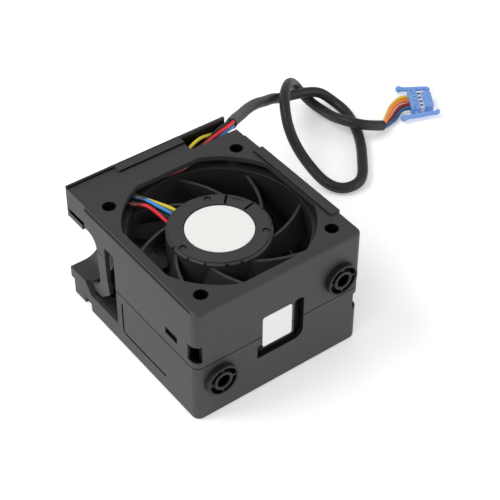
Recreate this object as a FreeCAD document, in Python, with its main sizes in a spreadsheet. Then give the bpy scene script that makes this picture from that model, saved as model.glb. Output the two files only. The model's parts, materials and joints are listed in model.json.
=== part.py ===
import FreeCAD, Part
import math
import os
import re
import Sketcher
from FreeCAD import Vector

# Hot-plug server fan module: a two-part plastic case round a 60 x 60 x 38 mm fan,
# with its four leads in a sleeve that ends in a latched plug.
# Frame: +Z is the way the air leaves, Z = 0 is the case's bottom face,
# the fan's axis is the Z axis, and the case's grip end points to +Y.

doc = FreeCAD.newDocument("ServerFanModule")
sheet = doc.addObject("Spreadsheet::Sheet", "Sizes")

SIZES = {
    "side_wall": (1.9, "side walls of the case"),
    "front_wall": (1.7, "front wall of the case"),
    "step_inset": (1.0, "fan frame's back to where the sides step in for the grip end"),
    "grip_long": (11.1, "fan frame's back to the back of the grip end"),
    "side_step": (1.0, "how far the sides step in at the grip end"),
    "wall": (1.8, "case wall"),
    "corner_round": (2.8, "upright corners of the case"),
    "edge_round": (1.2, "top and bottom front edges"),
    "parting_shift": (0.1, "joint between the shells, above the case's middle"),
    "parting_gap": (0.2, "open line between the shells"),
    "opening_over": (1.6, "radius of the air opening over the fan duct's"),
    "opening_inset": (1.7, "fan frame's sides to the flats of the air opening"),
    "hole_inset": (5.0, "fan frame's sides to the screw holes"),
    "hole_bore": (4.3, "screw holes through the case, dampers and fan"),
    "strip_height": (0.6, "raised strip beside the opening"),
    "strip_wide": (3.6, "width of that strip"),
    "strip_half": (20.2, "half the strip's length"),
    "wing_depth": (11.6, "height of the upper grip"),
    "wing_flange": (2.1, "thickness of the upper grip's lower flange"),
    "rail_rise": (0.7, "how far the back rail stands above the top"),
    "rail_thick": (0.9, "thin back rail"),
    "rail_wide": (3.8, "wide stretch of the back rail"),
    "rail_left": (13.0, "fan axis to the wide stretch's left end"),
    "rail_right": (12.6, "fan axis to the wide stretch's right end"),
    "channel_start": (3.3, "fan frame's back to the wire channel"),
    "channel_depth": (4.6, "depth of the wire channel"),
    "channel_wall": (1.2, "wall of the wire channel"),
    "lower_grip": (12.3, "height of the lower grip"),
    "lower_band": (4.3, "flush band along the top of the lower grip"),
    "foot_long": (5.5, "length of the relief under the lower grip"),
    "foot_relief": (2.7, "height of that relief"),
    "scoop_inset": (4.6, "grip's sides to where the finger scoops start to rise"),
    "scoop_round": (6.5, "radius of the finger scoops"),
    "window_drop": (8.5, "case's top to the upper edge of the finger window"),
    "window_reach": (17.8, "fan frame's back to the front edge of the finger window"),
    "window_ramp_inset": (1.7, "fan frame's back to where the sill starts to climb"),
    "window_sill": (8.2, "lower edge of the finger window"),
    "window_round": (4.8, "upper back corner of the finger window"),
    "cheek_drop": (8.0, "case's top to the lower edge of the upper grip's cheeks"),
    "tongue_inset": (12.4, "fan frame's back to the tongue's front edge"),
    "tongue_wide": (4.8, "width of the release tongue at its root"),
    "tongue_thick": (1.5, "thickness of the release tongue"),
    "tongue_gap": (0.3, "line between the tongue and its root"),
    "tongue_lean": (1.7, "how far the tongue leans in at its foot"),
    "tongue_low": (9.4, "lowest point of the tongue's foot"),
    "tongue_flare": (9.0, "radius of the foot's flare"),
    "snap_front": (22.3, "fan axis to the far end of the snap slot"),
    "snap_back": (15.9, "fan axis to the near end of the snap slot"),
    "snap_rise": (3.9, "joint to the snap slot"),
    "snap_tall": (2.8, "height of the snap slot"),
    "corner_window_rise": (2.3, "joint to the corner window"),
    "corner_window_tall": (6.8, "height of the corner window"),
    "corner_window_side": (4.3, "corner window along the side face"),
    "corner_window_face": (2.6, "corner window along the front face"),
    "door_half": (19.5, "half the width of the leads' doorway"),
    "door_deep": (7.0, "fan frame's back to the far side of that doorway"),
    "groove_wide": (0.9, "side groove width"),
    "groove_upright": (9.4, "fan axis to the side groove's upright leg"),
    "groove_top": (19.7, "top of the side groove"),
    "groove_level": (6.5, "height of the side groove's level leg"),
    "groove_round": (2.2, "side groove's corner"),
    "groove_end": (15.2, "fan axis to the side groove's front end"),
    "groove_deep": (0.6, "side groove depth"),
    "slot_right": (9.2, "front slot's right edge"),
    "slot_left": (8.9, "fan axis to the front slot's left end"),
    "slot_leg": (3.9, "width of the front slot's upright leg"),
    "slot_end": (1.5, "rounding of the upright leg's end"),
    "slot_rise": (8.3, "joint to the top of the front slot's upright leg"),
    "slot_drop": (8.8, "joint to the bottom of the front slot"),
    "slot_tall": (3.7, "height of the front slot's level leg"),
    "slot_round": (3.4, "front slot's outer corner"),
    "mount_inset": (6.75, "fan frame's sides to the isolators' axes"),
    "mount_rise": (8.3, "joint up to the right isolator's axis"),
    "mount_drop": (7.9, "joint down to the left isolator's axis"),
    "mount_ring": (5.7, "isolator's outer radius"),
    "mount_gap_outer": (5.0, "outer radius of the isolator's ring gap"),
    "mount_inner": (3.4, "radius of the isolator's inner sleeve"),
    "mount_bore": (2.4, "isolator's bore radius"),
    "mount_proud": (2.0, "how far an isolator stands out of the front"),
    "mount_neck": (4.6, "radius of the isolator's neck in the wall"),
    "label_left": (7.0, "front label's left edge"),
    "label_right": (5.0, "front label's right edge"),
    "label_rise": (7.9, "joint up to the front label's upper edge"),
    "label_drop": (4.5, "joint down to the front label's lower edge"),
    "label_thick": (0.2, "label thickness"),
    "frame_size": (60.0, "fan frame, square"),
    "frame_depth": (38.0, "fan frame, depth"),
    "pad_room": (2.2, "case to fan frame, above and below, where the dampers sit"),
    "room_gap": (0.3, "fan frame to the case walls"),
    "flange": (4.2, "fan flange thickness"),
    "duct_skin": (0.8, "fan frame's sides to the duct, where it is thinnest"),
    "duct_wall": (1.3, "fan duct wall"),
    "frame_round": (3.0, "fan frame corners"),
    "base_over": (0.3, "motor base's radius over the impeller hub's"),
    "base_drop": (1.0, "fan frame's top to the motor base's outer edge"),
    "ring_rise": (0.7, "height of the motor base's raised ring"),
    "base_deep": (9.0, "depth of the motor base's skirt"),
    "base_wall": (1.2, "motor base wall"),
    "recess_reach": (11.6, "radius of the label recess"),
    "ring_inset": (1.0, "motor base's radius over the raised ring's"),
    "ring_step": (0.35, "raised ring to the base's outer edge"),
    "dimple_reach": (1.2, "radius of the dimples in the raised ring"),
    "dimple_deep": (0.4, "depth of the dimples"),
    "slit_wide": (0.45, "width of the slits in the raised ring"),
    "label_inset": (0.4, "recess to the hub label, all round"),
    "vane_count": (8, "guide vanes"),
    "vane_thick": (0.9, "guide vane thickness"),
    "vane_drop": (1.0, "motor base's outer edge to the guide vanes' upper edges"),
    "vane_deep": (8.0, "depth of the guide vanes"),
    "vane_sweep": (37.0, "turn of a guide vane from hub to duct"),
    "vane_bow": (36.5, "radius of a guide vane's sweep"),
    "vane_twist": (9.0, "turn of a guide vane from top to bottom"),
    "vane_slant": (1.6, "guide vane's width along the rim over its thickness"),
    "lead_turn": (118.0, "direction of the gap that the leads leave by"),
    "lead_half": (17.0, "half the angle of that gap"),
    "lead_gap_deep": (3.0, "motor base's outer edge to the bottom of that gap"),
    "blade_count": (7, "impeller blades"),
    "tip_gap": (0.5, "blade tip to duct"),
    "blade_start": (1.2, "hub's nose to the blades' lower edges"),
    "blade_end": (1.4, "blades' upper edges to the hub's open end"),
    "blade_thick": (1.5, "blade thickness at the hub"),
    "blade_edge": (0.5, "blade edge thickness"),
    "blade_camber": (2.4, "bow of a blade"),
    "root_chord": (20.4, "blade length at the hub"),
    "root_pitch": (62.0, "blade angle at the hub"),
    "tip_chord": (25.0, "blade length at the duct"),
    "tip_pitch": (38.0, "blade angle at the duct"),
    "hub_reach": (16.9, "impeller hub radius"),
    "nose_lift": (4.0, "fan frame's underside to the hub's nose"),
    "hub_clear": (1.0, "hub's open end to the motor base's skirt"),
    "hub_wall": (1.0, "hub wall"),
    "hub_floor": (1.5, "hub nose thickness"),
    "hub_nose": (1.4, "rounding of the hub's nose"),
    "boss_reach": (3.6, "radius of the boss that holds the shaft"),
    "boss_tall": (4.2, "height of that boss from the hub's nose"),
    "bond_gap": (0.05, "glued or pressed seats, radial"),
    "cup_wall": (1.0, "steel rotor cup wall"),
    "magnet_wall": (1.6, "magnet ring wall"),
    "air_gap": (0.6, "magnet to stator"),
    "shaft_reach": (1.5, "shaft radius"),
    "shaft_end": (0.8, "shaft beyond its clip"),
    "run_gap": (0.05, "shaft in bearing, radial"),
    "bearing_reach": (4.0, "bearing outer radius"),
    "bearing_depth": (4.0, "bearing width"),
    "tube_reach": (5.0, "bearing tube outer radius"),
    "tube_lip": (1.2, "bearing tube beyond the lower bearing"),
    "washer_tall": (0.8, "boss to the lower bearing, where the preload washer sits"),
    "upper_cover": (2.6, "upper bearing to the motor base's roof"),
    "shoulder_bore": (3.2, "bearing tube bore between the bearings"),
    "core_lift": (2.5, "underside of the lower bearing to the stator core"),
    "core_sink": (5.0, "stator core's upper face to the hub's open end"),
    "pole_count": (4, "stator poles"),
    "insulator_thick": (1.0, "stator insulator"),
    "rim_tall": (3.2, "height of the insulator's rims"),
    "board_room": (6.4, "circuit board's lower face to the motor base's roof"),
    "board_thick": (1.0, "circuit board thickness"),
    "board_gap": (0.8, "circuit board to the motor base's skirt"),
    "neck_half": (2.2, "half the width of a stator pole's neck"),
    "core_hub": (7.0, "radius of the stator's inner ring"),
    "shoe_thick": (1.7, "thickness of a pole shoe"),
    "shoe_half": (38.0, "half the angle of a pole shoe"),
    "coil_deep": (2.2, "winding thickness"),
    "post_inset": (0.5, "outside of the board posts to the stator's outside"),
    "clip_reach": (3.0, "retaining clip radius"),
    "clip_lift": (0.4, "upper bearing to the retaining clip"),
    "clip_thick": (0.5, "retaining clip thickness"),
    "clip_groove": (0.3, "depth of the clip's groove in the shaft"),
    "pad_reach": (4.2, "rubber damper radius"),
    "chip_tall": (1.6, "height of the flat chips"),
    "chip_margin": (3.7, "flat chips to the board's edge"),
    "chip_long": (6.0, "length of a flat chip"),
    "chip_wide": (4.0, "width of a flat chip"),
    "can_tall": (2.4, "height of the round part and the block beside it"),
    "can_reach": (2.2, "radius of the round part"),
    "pad_gap": (0.1, "rubber damper to its neighbours"),
    "wire_reach": (0.62, "lead radius over its insulation"),
    "sleeve_reach": (2.0, "cable sleeve radius"),
    "plug_x": (130.1, "fan axis to the middle of the plug's wire side, along X"),
    "plug_y": (52.8, "fan axis to the middle of the plug's wire side, along Y"),
    "plug_turn": (-32.0, "heading of the plug, degrees from X"),
    "plug_rest": (0.2, "underside of the plug"),
    "plug_wide": (12.4, "plug housing width"),
    "plug_long": (9.2, "plug housing length"),
    "plug_thick": (4.0, "plug housing thickness"),
    "plug_bar": (4.0, "length of the plug's latch carrier"),
    "nose_inset": (0.9, "nose narrower than the carrier, each side"),
    "nose_drop": (0.3, "nose thinner than the carrier, each side"),
    "contact_pitch": (2.5, "plug contact spacing"),
    "contact_back": (4.7, "wire side to the contacts"),
    "cavity_half": (0.8, "half the width of a contact cavity"),
    "wire_hole_deep": (1.2, "depth of the wire holes"),
    "latch_thick": (1.4, "latch arm thickness"),
    "latch_gap": (0.9, "housing to latch arm"),
    "latch_tail": (4.8, "latch arm behind the housing"),
    "latch_nose": (1.6, "latch arm beyond the nose"),
    "latch_tall": (3.0, "latch arm height"),
    "web_start": (1.2, "wire side to the arm's web"),
    "web_wide": (1.4, "width of the arm's web"),
    "web_gap": (0.3, "web to housing"),
}

# places that follow from those sizes
FITTED = {
    "case_width": "frame_size + 2 * (room_gap + side_wall)",
    "case_front": "frame_size / 2 + room_gap + front_wall",
    "case_step": "frame_size / 2 - step_inset",
    "grip_back": "frame_size / 2 + grip_long",
    "frame_lift": "wall + pad_room",
    "frame_top": "frame_lift + frame_depth",
    "case_height": "frame_top + pad_room + wall",
    "parting_height": "case_height / 2 + parting_shift",
    "bore_reach": "frame_size / 2 - duct_skin",
    "opening_reach": "bore_reach + opening_over",
    "opening_flat": "frame_size / 2 - opening_inset",
    "hole_spacing": "frame_size - 2 * hole_inset",
    "strip_inner": "case_width / 2 - strip_wide",
    "channel_front": "frame_size / 2 + channel_start",
    "door_back": "frame_size / 2 + door_deep",
    "foot_start": "case_step",
    "foot_end": "case_step + foot_long",
    "scoop_edge": "case_width / 2 - side_step - scoop_inset",
    "window_top": "case_height - window_drop",
    "window_front": "frame_size / 2 - window_reach",
    "window_ramp": "frame_size / 2 - window_ramp_inset",
    "cheek_low": "case_height - cheek_drop",
    "tongue_front": "frame_size / 2 - tongue_inset",
    "tongue_back": "tongue_front + tongue_wide",
    "snap_low": "parting_height + snap_rise",
    "snap_high": "snap_low + snap_tall",
    "corner_window_low": "parting_height + corner_window_rise",
    "corner_window_high": "corner_window_low + corner_window_tall",
    "slot_top": "parting_height + slot_rise",
    "slot_low": "parting_height - slot_drop",
    "slot_high": "slot_low + slot_tall",
    "mount_across": "frame_size / 2 - mount_inset",
    "mount_high": "parting_height + mount_rise",
    "mount_low": "parting_height - mount_drop",
    "label_high": "parting_height + label_rise",
    "label_low": "parting_height - label_drop",
    "base_reach": "hub_reach + base_over",
    "base_top": "frame_top - base_drop",
    "base_roof": "base_top - base_wall",
    "base_ring": "base_top + ring_rise",
    "base_low": "base_top - base_deep",
    "hub_label_reach": "recess_reach - label_inset",
    "vane_top": "base_top - vane_drop",
    "vane_low": "vane_top - vane_deep",
    "hub_low": "frame_lift + nose_lift",
    "hub_top": "base_low - hub_clear",
    "blade_low": "hub_low + blade_start",
    "blade_top": "hub_top - blade_end",
    "boss_top": "hub_low + boss_tall",
    "lower_seat": "boss_top + washer_tall",
    "tube_low": "lower_seat - tube_lip",
    "upper_seat": "base_roof - upper_cover - bearing_depth",
    "clip_low": "upper_seat + bearing_depth + clip_lift",
    "shaft_top": "clip_low + clip_thick + shaft_end",
    "core_low": "lower_seat + core_lift",
    "core_high": "hub_top - core_sink",
    "board_low": "base_roof - board_room",
    "board_reach": "base_reach - base_wall - board_gap",
    "hub_bore": "hub_reach - hub_wall",
    "cup_outside": "hub_bore - bond_gap",
    "cup_bore": "cup_outside - cup_wall",
    "magnet_outside": "cup_bore - bond_gap",
    "magnet_bore": "magnet_outside - magnet_wall",
    "stator_reach": "magnet_bore - air_gap",
    "shoe_bore": "stator_reach - shoe_thick",
    "post_reach": "stator_reach - post_inset",
    "bearing_bore": "bearing_reach + bond_gap",
    "inside": "frame_size / 2 + room_gap",
    "grip_side": "case_width / 2 - side_step",
    "tongue_root": "cheek_low - window_round",
}

for row, (alias, (value, note)) in enumerate(SIZES.items(), 1):
    sheet.set(f"A{row}", note)
    sheet.set(f"B{row}", str(value))
    sheet.setAlias(f"B{row}", alias)
doc.recompute()


def bound(expression):
    """The expression with each fitted place spelt out and each size named as a cell of the sheet."""
    def spelt(word):
        if word[0] in FITTED:
            return f"({bound(FITTED[word[0]])})"
        return f"Sizes.{word[0]}" if word[0] in SIZES else word[0]
    return re.sub(r"[a-z_]+", spelt, str(expression))


def size(expression):
    """The number that an expression of sizes comes to now."""
    result = sheet.evalExpression(bound(expression))
    return float(getattr(result, "Value", result))


def body(label):
    piece = doc.addObject("PartDesign::Body", label)
    piece.Label = label
    piece.AllowCompound = True
    return piece


def origin_feature(piece, role):
    return next(item for item in piece.Origin.OriginFeatures if item.Role == role)


def box_loop(x_low, x_high, y_low, y_high):
    return [(x_low, y_low), (x_high, y_low), (x_high, y_high), (x_low, y_high)]


def arc_centre(start, end, radius, side):
    """Centre of the shorter arc from start to end, with the centre on the given side."""
    chord = end - start
    rise = math.sqrt(max(radius ** 2 - chord.Length ** 2 / 4, 0))
    normal = Vector(-chord.y, chord.x, 0).normalize()
    return (start + end) / 2 + normal * (rise if side == "left" else -rise)


def draw_loop(sketch, points):
    """A closed outline. A point is (x, y), or (x, y, radius, side) where an arc leads to the next one."""
    spots = [Vector(size(p[0]), size(p[1]), 0) for p in points]
    ends = []
    for number, point in enumerate(points):
        start, end = spots[number], spots[(number + 1) % len(spots)]
        if len(point) == 2:
            edge = sketch.addGeometry(Part.LineSegment(start, end), False)
            ends.append((edge, 1, 2))
            continue
        radius = size(point[2])
        centre = arc_centre(start, end, radius, point[3])
        turn = [math.atan2(spot.y - centre.y, spot.x - centre.x) for spot in (start, end)]
        if point[3] == "right":
            turn.reverse()
        circle = Part.Circle(centre, Vector(0, 0, 1), radius)
        edge = sketch.addGeometry(Part.ArcOfCircle(circle, turn[0], turn[1]), False)
        ends.append((edge, 1, 2) if point[3] == "left" else (edge, 2, 1))
        rule = sketch.addConstraint(Sketcher.Constraint("Radius", edge, radius))
        sketch.setExpression(f"Constraints[{rule}]", bound(point[2]))
    for number, point in enumerate(points):
        edge, first, last = ends[number]
        following = ends[(number + 1) % len(ends)]
        sketch.addConstraint(Sketcher.Constraint("Coincident", edge, last, following[0], following[1]))
        for kind, value in (("DistanceX", point[0]), ("DistanceY", point[1])):
            rule = sketch.addConstraint(Sketcher.Constraint(kind, -1, 1, edge, first, size(value)))
            sketch.setExpression(f"Constraints[{rule}]", bound(value))


def draw_circle(sketch, x, y, radius):
    circle = Part.Circle(Vector(size(x), size(y), 0), Vector(0, 0, 1), size(radius))
    edge = sketch.addGeometry(circle, False)
    for rule, value in (
        (Sketcher.Constraint("DistanceX", -1, 1, edge, 3, size(x)), x),
        (Sketcher.Constraint("DistanceY", -1, 1, edge, 3, size(y)), y),
        (Sketcher.Constraint("Radius", edge, size(radius)), radius),
    ):
        number = sketch.addConstraint(rule)
        sketch.setExpression(f"Constraints[{number}]", bound(value))


def sketch_on(piece, role, offset, shapes):
    """A sketch on one of the body's own planes. A shape is a loop of points, or a (x, y, radius) circle."""
    sketch = piece.newObject("Sketcher::SketchObject", f"{piece.Name}_outline")
    sketch.AttachmentSupport = [(origin_feature(piece, role), "")]
    sketch.MapMode = "FlatFace"
    sketch.setExpression("AttachmentOffset.Base.z", bound(offset))
    for shape in shapes:
        if isinstance(shape, tuple):
            draw_circle(sketch, *shape)
        else:
            draw_loop(sketch, shape)
    return sketch


def span(piece, kind, role, low, high, *shapes):
    """Pads or pockets the outlines between two heights along the plane's axis."""
    if role == "XZ_Plane":
        low, high = f"-({high})", f"-({low})"
    sketch = sketch_on(piece, role, low if kind == "Pad" else high, shapes)
    feature = piece.newObject(f"PartDesign::{kind}", f"{piece.Name}_{kind.lower()}")
    feature.Profile = sketch
    feature.setExpression("Length", bound(f"({high}) - ({low})"))
    before = piece.Shape.Volume if kind == "Pocket" else 0
    doc.recompute()
    if kind == "Pocket" and not piece.Shape.Volume < before:
        raise RuntimeError(f"{feature.Name} cuts nothing")
    return feature


def pad(piece, role, low, high, *shapes):
    return span(piece, "Pad", role, low, high, *shapes)


def pocket(piece, role, low, high, *shapes):
    return span(piece, "Pocket", role, low, high, *shapes)


def revolve(piece, *loops):
    """Turns outlines of (radius, height) points once round the fan's axis."""
    sketch = sketch_on(piece, "XZ_Plane", 0, loops)
    feature = piece.newObject("PartDesign::Revolution", f"{piece.Name}_turned")
    feature.Profile = sketch
    feature.ReferenceAxis = (origin_feature(piece, "Z_Axis"), [""])
    feature.Angle = 360
    doc.recompute()
    return feature


def turned(label, *loops):
    piece = body(label)
    revolve(piece, *loops)
    return piece


def around(piece, features, count):
    """Repeats features evenly round the fan's axis."""
    pattern = piece.newObject("PartDesign::PolarPattern", f"{piece.Name}_pattern")
    pattern.Originals = features
    pattern.Axis = (origin_feature(piece, "Z_Axis"), [""])
    pattern.Angle = 360
    pattern.setExpression("Occurrences", bound(count))
    piece.Tip = pattern
    doc.recompute()
    return pattern


def round_edges(piece, radius, chosen):
    """Fillets the edges of the body's latest feature that the test picks."""
    base = piece.Tip
    names = [f"Edge{n}" for n, edge in enumerate(base.Shape.Edges, 1) if chosen(edge)]
    fillet = piece.newObject("PartDesign::Fillet", f"{piece.Name}_round")
    fillet.Base = (base, names)
    fillet.setExpression("Radius", bound(radius))
    doc.recompute()
    return fillet


def is_upright_at(x, y):
    """Tests for an upright edge at a corner that is given by two sizes."""
    def test(edge):
        middle = edge.CenterOfMass
        upright = edge.BoundBox.XLength < 0.01 and edge.BoundBox.YLength < 0.01
        return upright and abs(abs(middle.x) - size(x)) < 0.05 and abs(middle.y - size(y)) < 0.05
    return test


OPENING = [
    ("opening_flat", "-sqrt(opening_reach^2 - opening_flat^2)"),
    ("opening_flat", "sqrt(opening_reach^2 - opening_flat^2)", "opening_reach", "left"),
    ("sqrt(opening_reach^2 - opening_flat^2)", "opening_flat"),
    ("-sqrt(opening_reach^2 - opening_flat^2)", "opening_flat", "opening_reach", "left"),
    ("-opening_flat", "sqrt(opening_reach^2 - opening_flat^2)"),
    ("-opening_flat", "-sqrt(opening_reach^2 - opening_flat^2)", "opening_reach", "left"),
    ("-sqrt(opening_reach^2 - opening_flat^2)", "-opening_flat"),
    ("sqrt(opening_reach^2 - opening_flat^2)", "-opening_flat", "opening_reach", "left"),
]


def corner_circles(radius):
    """Circles at the four screw positions."""
    return [(f"{x}hole_spacing / 2", f"{y}hole_spacing / 2", radius) for x in ("", "-") for y in ("", "-")]


CASE_OUTLINE = [
    ("-case_width / 2", "-case_front"),
    ("case_width / 2", "-case_front"),
    ("case_width / 2", "case_step"),
    ("case_width / 2 - side_step", "case_step"),
    ("case_width / 2 - side_step", "frame_size / 2 + wall"),
    ("side_step - case_width / 2", "frame_size / 2 + wall"),
    ("side_step - case_width / 2", "case_step"),
    ("-case_width / 2", "case_step"),
]


def scoop_outline(low, high, top):
    """The block between the finger scoops in the XZ plane, from one height to another.

    Each scoop is a quarter round that starts level at scoop_edge and ends upright."""
    inner = "(scoop_edge - scoop_round)"
    if top:
        return [
            (f"-{inner}", low), (inner, low),
            (inner, f"{high} - scoop_round", "scoop_round", "right"),
            ("scoop_edge", high), ("-scoop_edge", high, "scoop_round", "right"),
            (f"-{inner}", f"{high} - scoop_round"),
        ]
    return [
        ("-scoop_edge", low), ("scoop_edge", low, "scoop_round", "right"),
        (inner, f"{low} + scoop_round"), (inner, high), (f"-{inner}", high),
        (f"-{inner}", f"{low} + scoop_round", "scoop_round", "right"),
    ]


def combine(kind, label, *pieces):
    """Fuses, cuts or intersects finished pieces."""
    result = doc.addObject(f"Part::{kind}", label)
    result.Label = label
    if kind == "Cut":
        result.Base, result.Tool = pieces
    else:
        result.Shapes = list(pieces)
    doc.recompute()
    return result


def ordered(*values):
    """The expressions in rising order, so that one function serves both sides of the case."""
    return sorted(values, key=size)


def cut_front_slot(shell):
    """The L-shaped slot in the front wall."""
    slot = [
        ("-slot_left", "slot_low"),
        ("slot_right - slot_round", "slot_low", "slot_round", "left"),
        ("slot_right", "slot_low + slot_round"),
        ("slot_right", "slot_top - slot_end", "slot_end", "left"),
        ("slot_right - slot_end", "slot_top"),
        ("slot_right - slot_leg + slot_end", "slot_top", "slot_end", "left"),
        ("slot_right - slot_leg", "slot_top - slot_end"),
        ("slot_right - slot_leg", "slot_high"),
        ("-slot_left + 1.8", "slot_high"),
        ("-slot_left + 1.8", "slot_high + 1.7"),
        ("-slot_left", "slot_high + 1.7"),
    ]
    pocket(shell, "XZ_Plane", "-case_front - 1", "-case_front + wall + 0.1", slot)


def cut_corner_window(shell, sign, low, high):
    """The window round one of the front corners."""
    near, far = side_range(sign, "case_width / 2 - corner_window_face", "case_width / 2 + 1")
    pocket(shell, "XY_Plane", low, high, box_loop(near, far, "-case_front - 1", "corner_window_side - case_front"))


def cut_back_corner(shell, sign, grip, joint):
    """Opens the back wall outside the finger scoop, between a grip's face and the joint."""
    inner = f"{sign}(scoop_edge - scoop_round)"
    bend = f"{grip} - scoop_round" if size(grip) > size(joint) else f"{grip} + scoop_round"
    side = "right" if (size(grip) > size(joint)) == (sign == "") else "left"
    pocket(shell, "XZ_Plane", "inside - 0.1", "frame_size / 2 + wall + 0.1", [
        (inner, joint),
        (inner, bend, "scoop_round", side),
        (f"{sign}(scoop_edge)", grip),
        (f"{sign}(case_width / 2 + 1)", grip),
        (f"{sign}(case_width / 2 + 1)", joint),
    ])


def cut_mount_hole(shell, x, z):
    pocket(shell, "XZ_Plane", "-case_front - 1", "-(inside) + 0.1", (x, z, "mount_neck + bond_gap"))


def side_range(sign, inner, outer):
    """From an inner to an outer distance on one side of the case, in rising order."""
    return ordered(f"{sign}({inner})", f"{sign}({outer})")


def make_upper_shell():
    shell = body("upper_case")
    joint = "parting_height + parting_gap / 2"
    roof = "case_height - wall"
    grip_floor = "case_height - wing_depth"
    pad(shell, "XY_Plane", joint, "case_height", CASE_OUTLINE)
    round_edges(shell, "corner_round", is_upright_at("case_width / 2", "-case_front"))
    round_edges(shell, "edge_round", lambda edge: edge.CenterOfMass.z > size("case_height") - 0.01
                and edge.CenterOfMass.y < size("corner_round - case_front"))
    pad(shell, "XY_Plane", grip_floor, "case_height",
        box_loop("-grip_side", "grip_side", "frame_size / 2", "grip_back"))
    pad(shell, "XZ_Plane", "frame_size / 2 + wall / 2", "grip_back", scoop_outline(joint, grip_floor, True))
    pad(shell, "XY_Plane", "case_height - 1", "case_height + strip_height",
        box_loop("strip_inner", "case_width / 2", "-strip_half", "strip_half"))
    # rails along the back edge
    pad(shell, "XY_Plane", "case_height - 1", "case_height + rail_rise",
        box_loop("-grip_side", "grip_side", "grip_back - rail_thick", "grip_back"))
    pad(shell, "XY_Plane", "case_height - 1", "case_height + rail_rise",
        box_loop("-rail_left", "rail_right", "grip_back - rail_wide", "grip_back"))
    # room for the fan, the air opening and the screw holes
    pocket(shell, "XY_Plane", joint, roof, box_loop("-(inside)", "inside", "-(inside)", "inside"))
    pocket(shell, "XY_Plane", f"{roof} - 1", "case_height + 1", OPENING)
    pocket(shell, "XY_Plane", f"{roof} - 1", "case_height + 1", *corner_circles("hole_bore / 2"))
    # the hollow grip, its hollow middle block and the doorway for the leads
    pocket(shell, "XY_Plane", f"{grip_floor} + wing_flange", roof,
           box_loop("-(grip_side - wall)", "grip_side - wall", "frame_size / 2 + wall + 0.3",
                    "grip_back - wall"))
    pocket(shell, "XY_Plane", joint, f"{grip_floor} + wing_flange + 1",
           box_loop("wall + scoop_round - scoop_edge", "scoop_edge - scoop_round - wall",
                    "frame_size / 2 + wall + 0.3", "grip_back - wall"))
    # the channel that leads the wires out at the right-hand corner, and the doorway to it
    pad(shell, "XY_Plane", "case_height - channel_depth - channel_wall", f"{roof} + 0.5",
        box_loop("rail_right - channel_wall", "grip_side - wall / 2",
                 "channel_front - channel_wall", "grip_back - wall / 2"))
    pocket(shell, "XY_Plane", "case_height - channel_depth", roof,
           box_loop("-door_half", "door_half", "frame_size / 2", "door_back"))
    pocket(shell, "XY_Plane", "case_height - channel_depth", "case_height + rail_rise",
           box_loop("rail_right", "grip_side + 1", "channel_front", "grip_back - rail_thick"))
    for sign in ("", "-"):
        near, far = side_range(sign, "grip_side - wall - 1", "case_width / 2 + 1")
        pocket(shell, "YZ_Plane", near, far,
               box_loop("case_step", "grip_back - wall", f"{grip_floor} + wing_flange", "cheek_low"))
        near, far = side_range(sign, "inside - 0.1", "case_width / 2 + 1")
        pocket(shell, "YZ_Plane", near, far, UPPER_WINDOW)
        pocket(shell, "YZ_Plane", near, far, box_loop("-snap_front", "-snap_back", "snap_low", "snap_high"))
        cut_back_corner(shell, sign, f"({grip_floor})", f"{joint} - 1")
    cut_corner_window(shell, "-", "corner_window_low", "corner_window_high")
    cut_front_slot(shell)
    cut_mount_hole(shell, "mount_across", "mount_high")
    shell.Label = "upper_shell"
    return shell


UPPER_WINDOW = [
    ("window_front", "parting_height - 1"),
    ("frame_size / 2 + wall + 0.3", "parting_height - 1"),
    ("frame_size / 2 + wall + 0.3", "cheek_low"),
    ("tongue_back + window_round", "cheek_low", "window_round", "left"),
    ("tongue_back", "tongue_root"),
    ("tongue_front", "tongue_root"),
    ("tongue_front", "window_top"),
    ("window_front", "window_top"),
]


def make_tongue(side, sign):
    """A release tongue: a leaf that carries on from its root in the side wall, leans in and flares at its foot."""
    leaf = body(f"tongue_leaf_{side}")
    drop = "(tongue_root - tongue_low)"
    bow = f"({drop}^2 + tongue_lean^2) / (2 * tongue_lean)"
    top = "tongue_root - tongue_gap"
    down, up = ("left", "right") if sign else ("right", "left")
    outer = "case_width / 2"
    pad(leaf, "XZ_Plane", "tongue_front - 1", "inside - 0.5", [
        (f"{sign}({outer})", top, bow, down),
        (f"{sign}({outer} - tongue_lean)", "tongue_low"),
        (f"{sign}({outer} - tongue_lean - tongue_thick)", "tongue_low", f"{bow}", up),
        (f"{sign}({outer} - tongue_thick)", top),
    ])
    outline = body(f"tongue_outline_{side}")
    near, far = side_range(sign, "case_width / 2 - tongue_lean - tongue_thick - 1", "case_width / 2 + 1")
    foot = "(inside - 1.6)"
    pad(outline, "YZ_Plane", near, far, [
        ("tongue_front", top),
        ("tongue_front", "tongue_low + 7"),
        (f"{foot} - 4.6", "tongue_low + 0.7"),
        (foot, "tongue_low"),
        (foot, "tongue_low + 4"),
        (f"{foot} - 1.2", "tongue_low + 4.4", "tongue_flare", "right"),
        ("tongue_back", "tongue_low + 12.6"),
        ("tongue_back", top),
    ])
    return combine("MultiCommon", f"tongue_{side}", leaf, outline)


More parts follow.
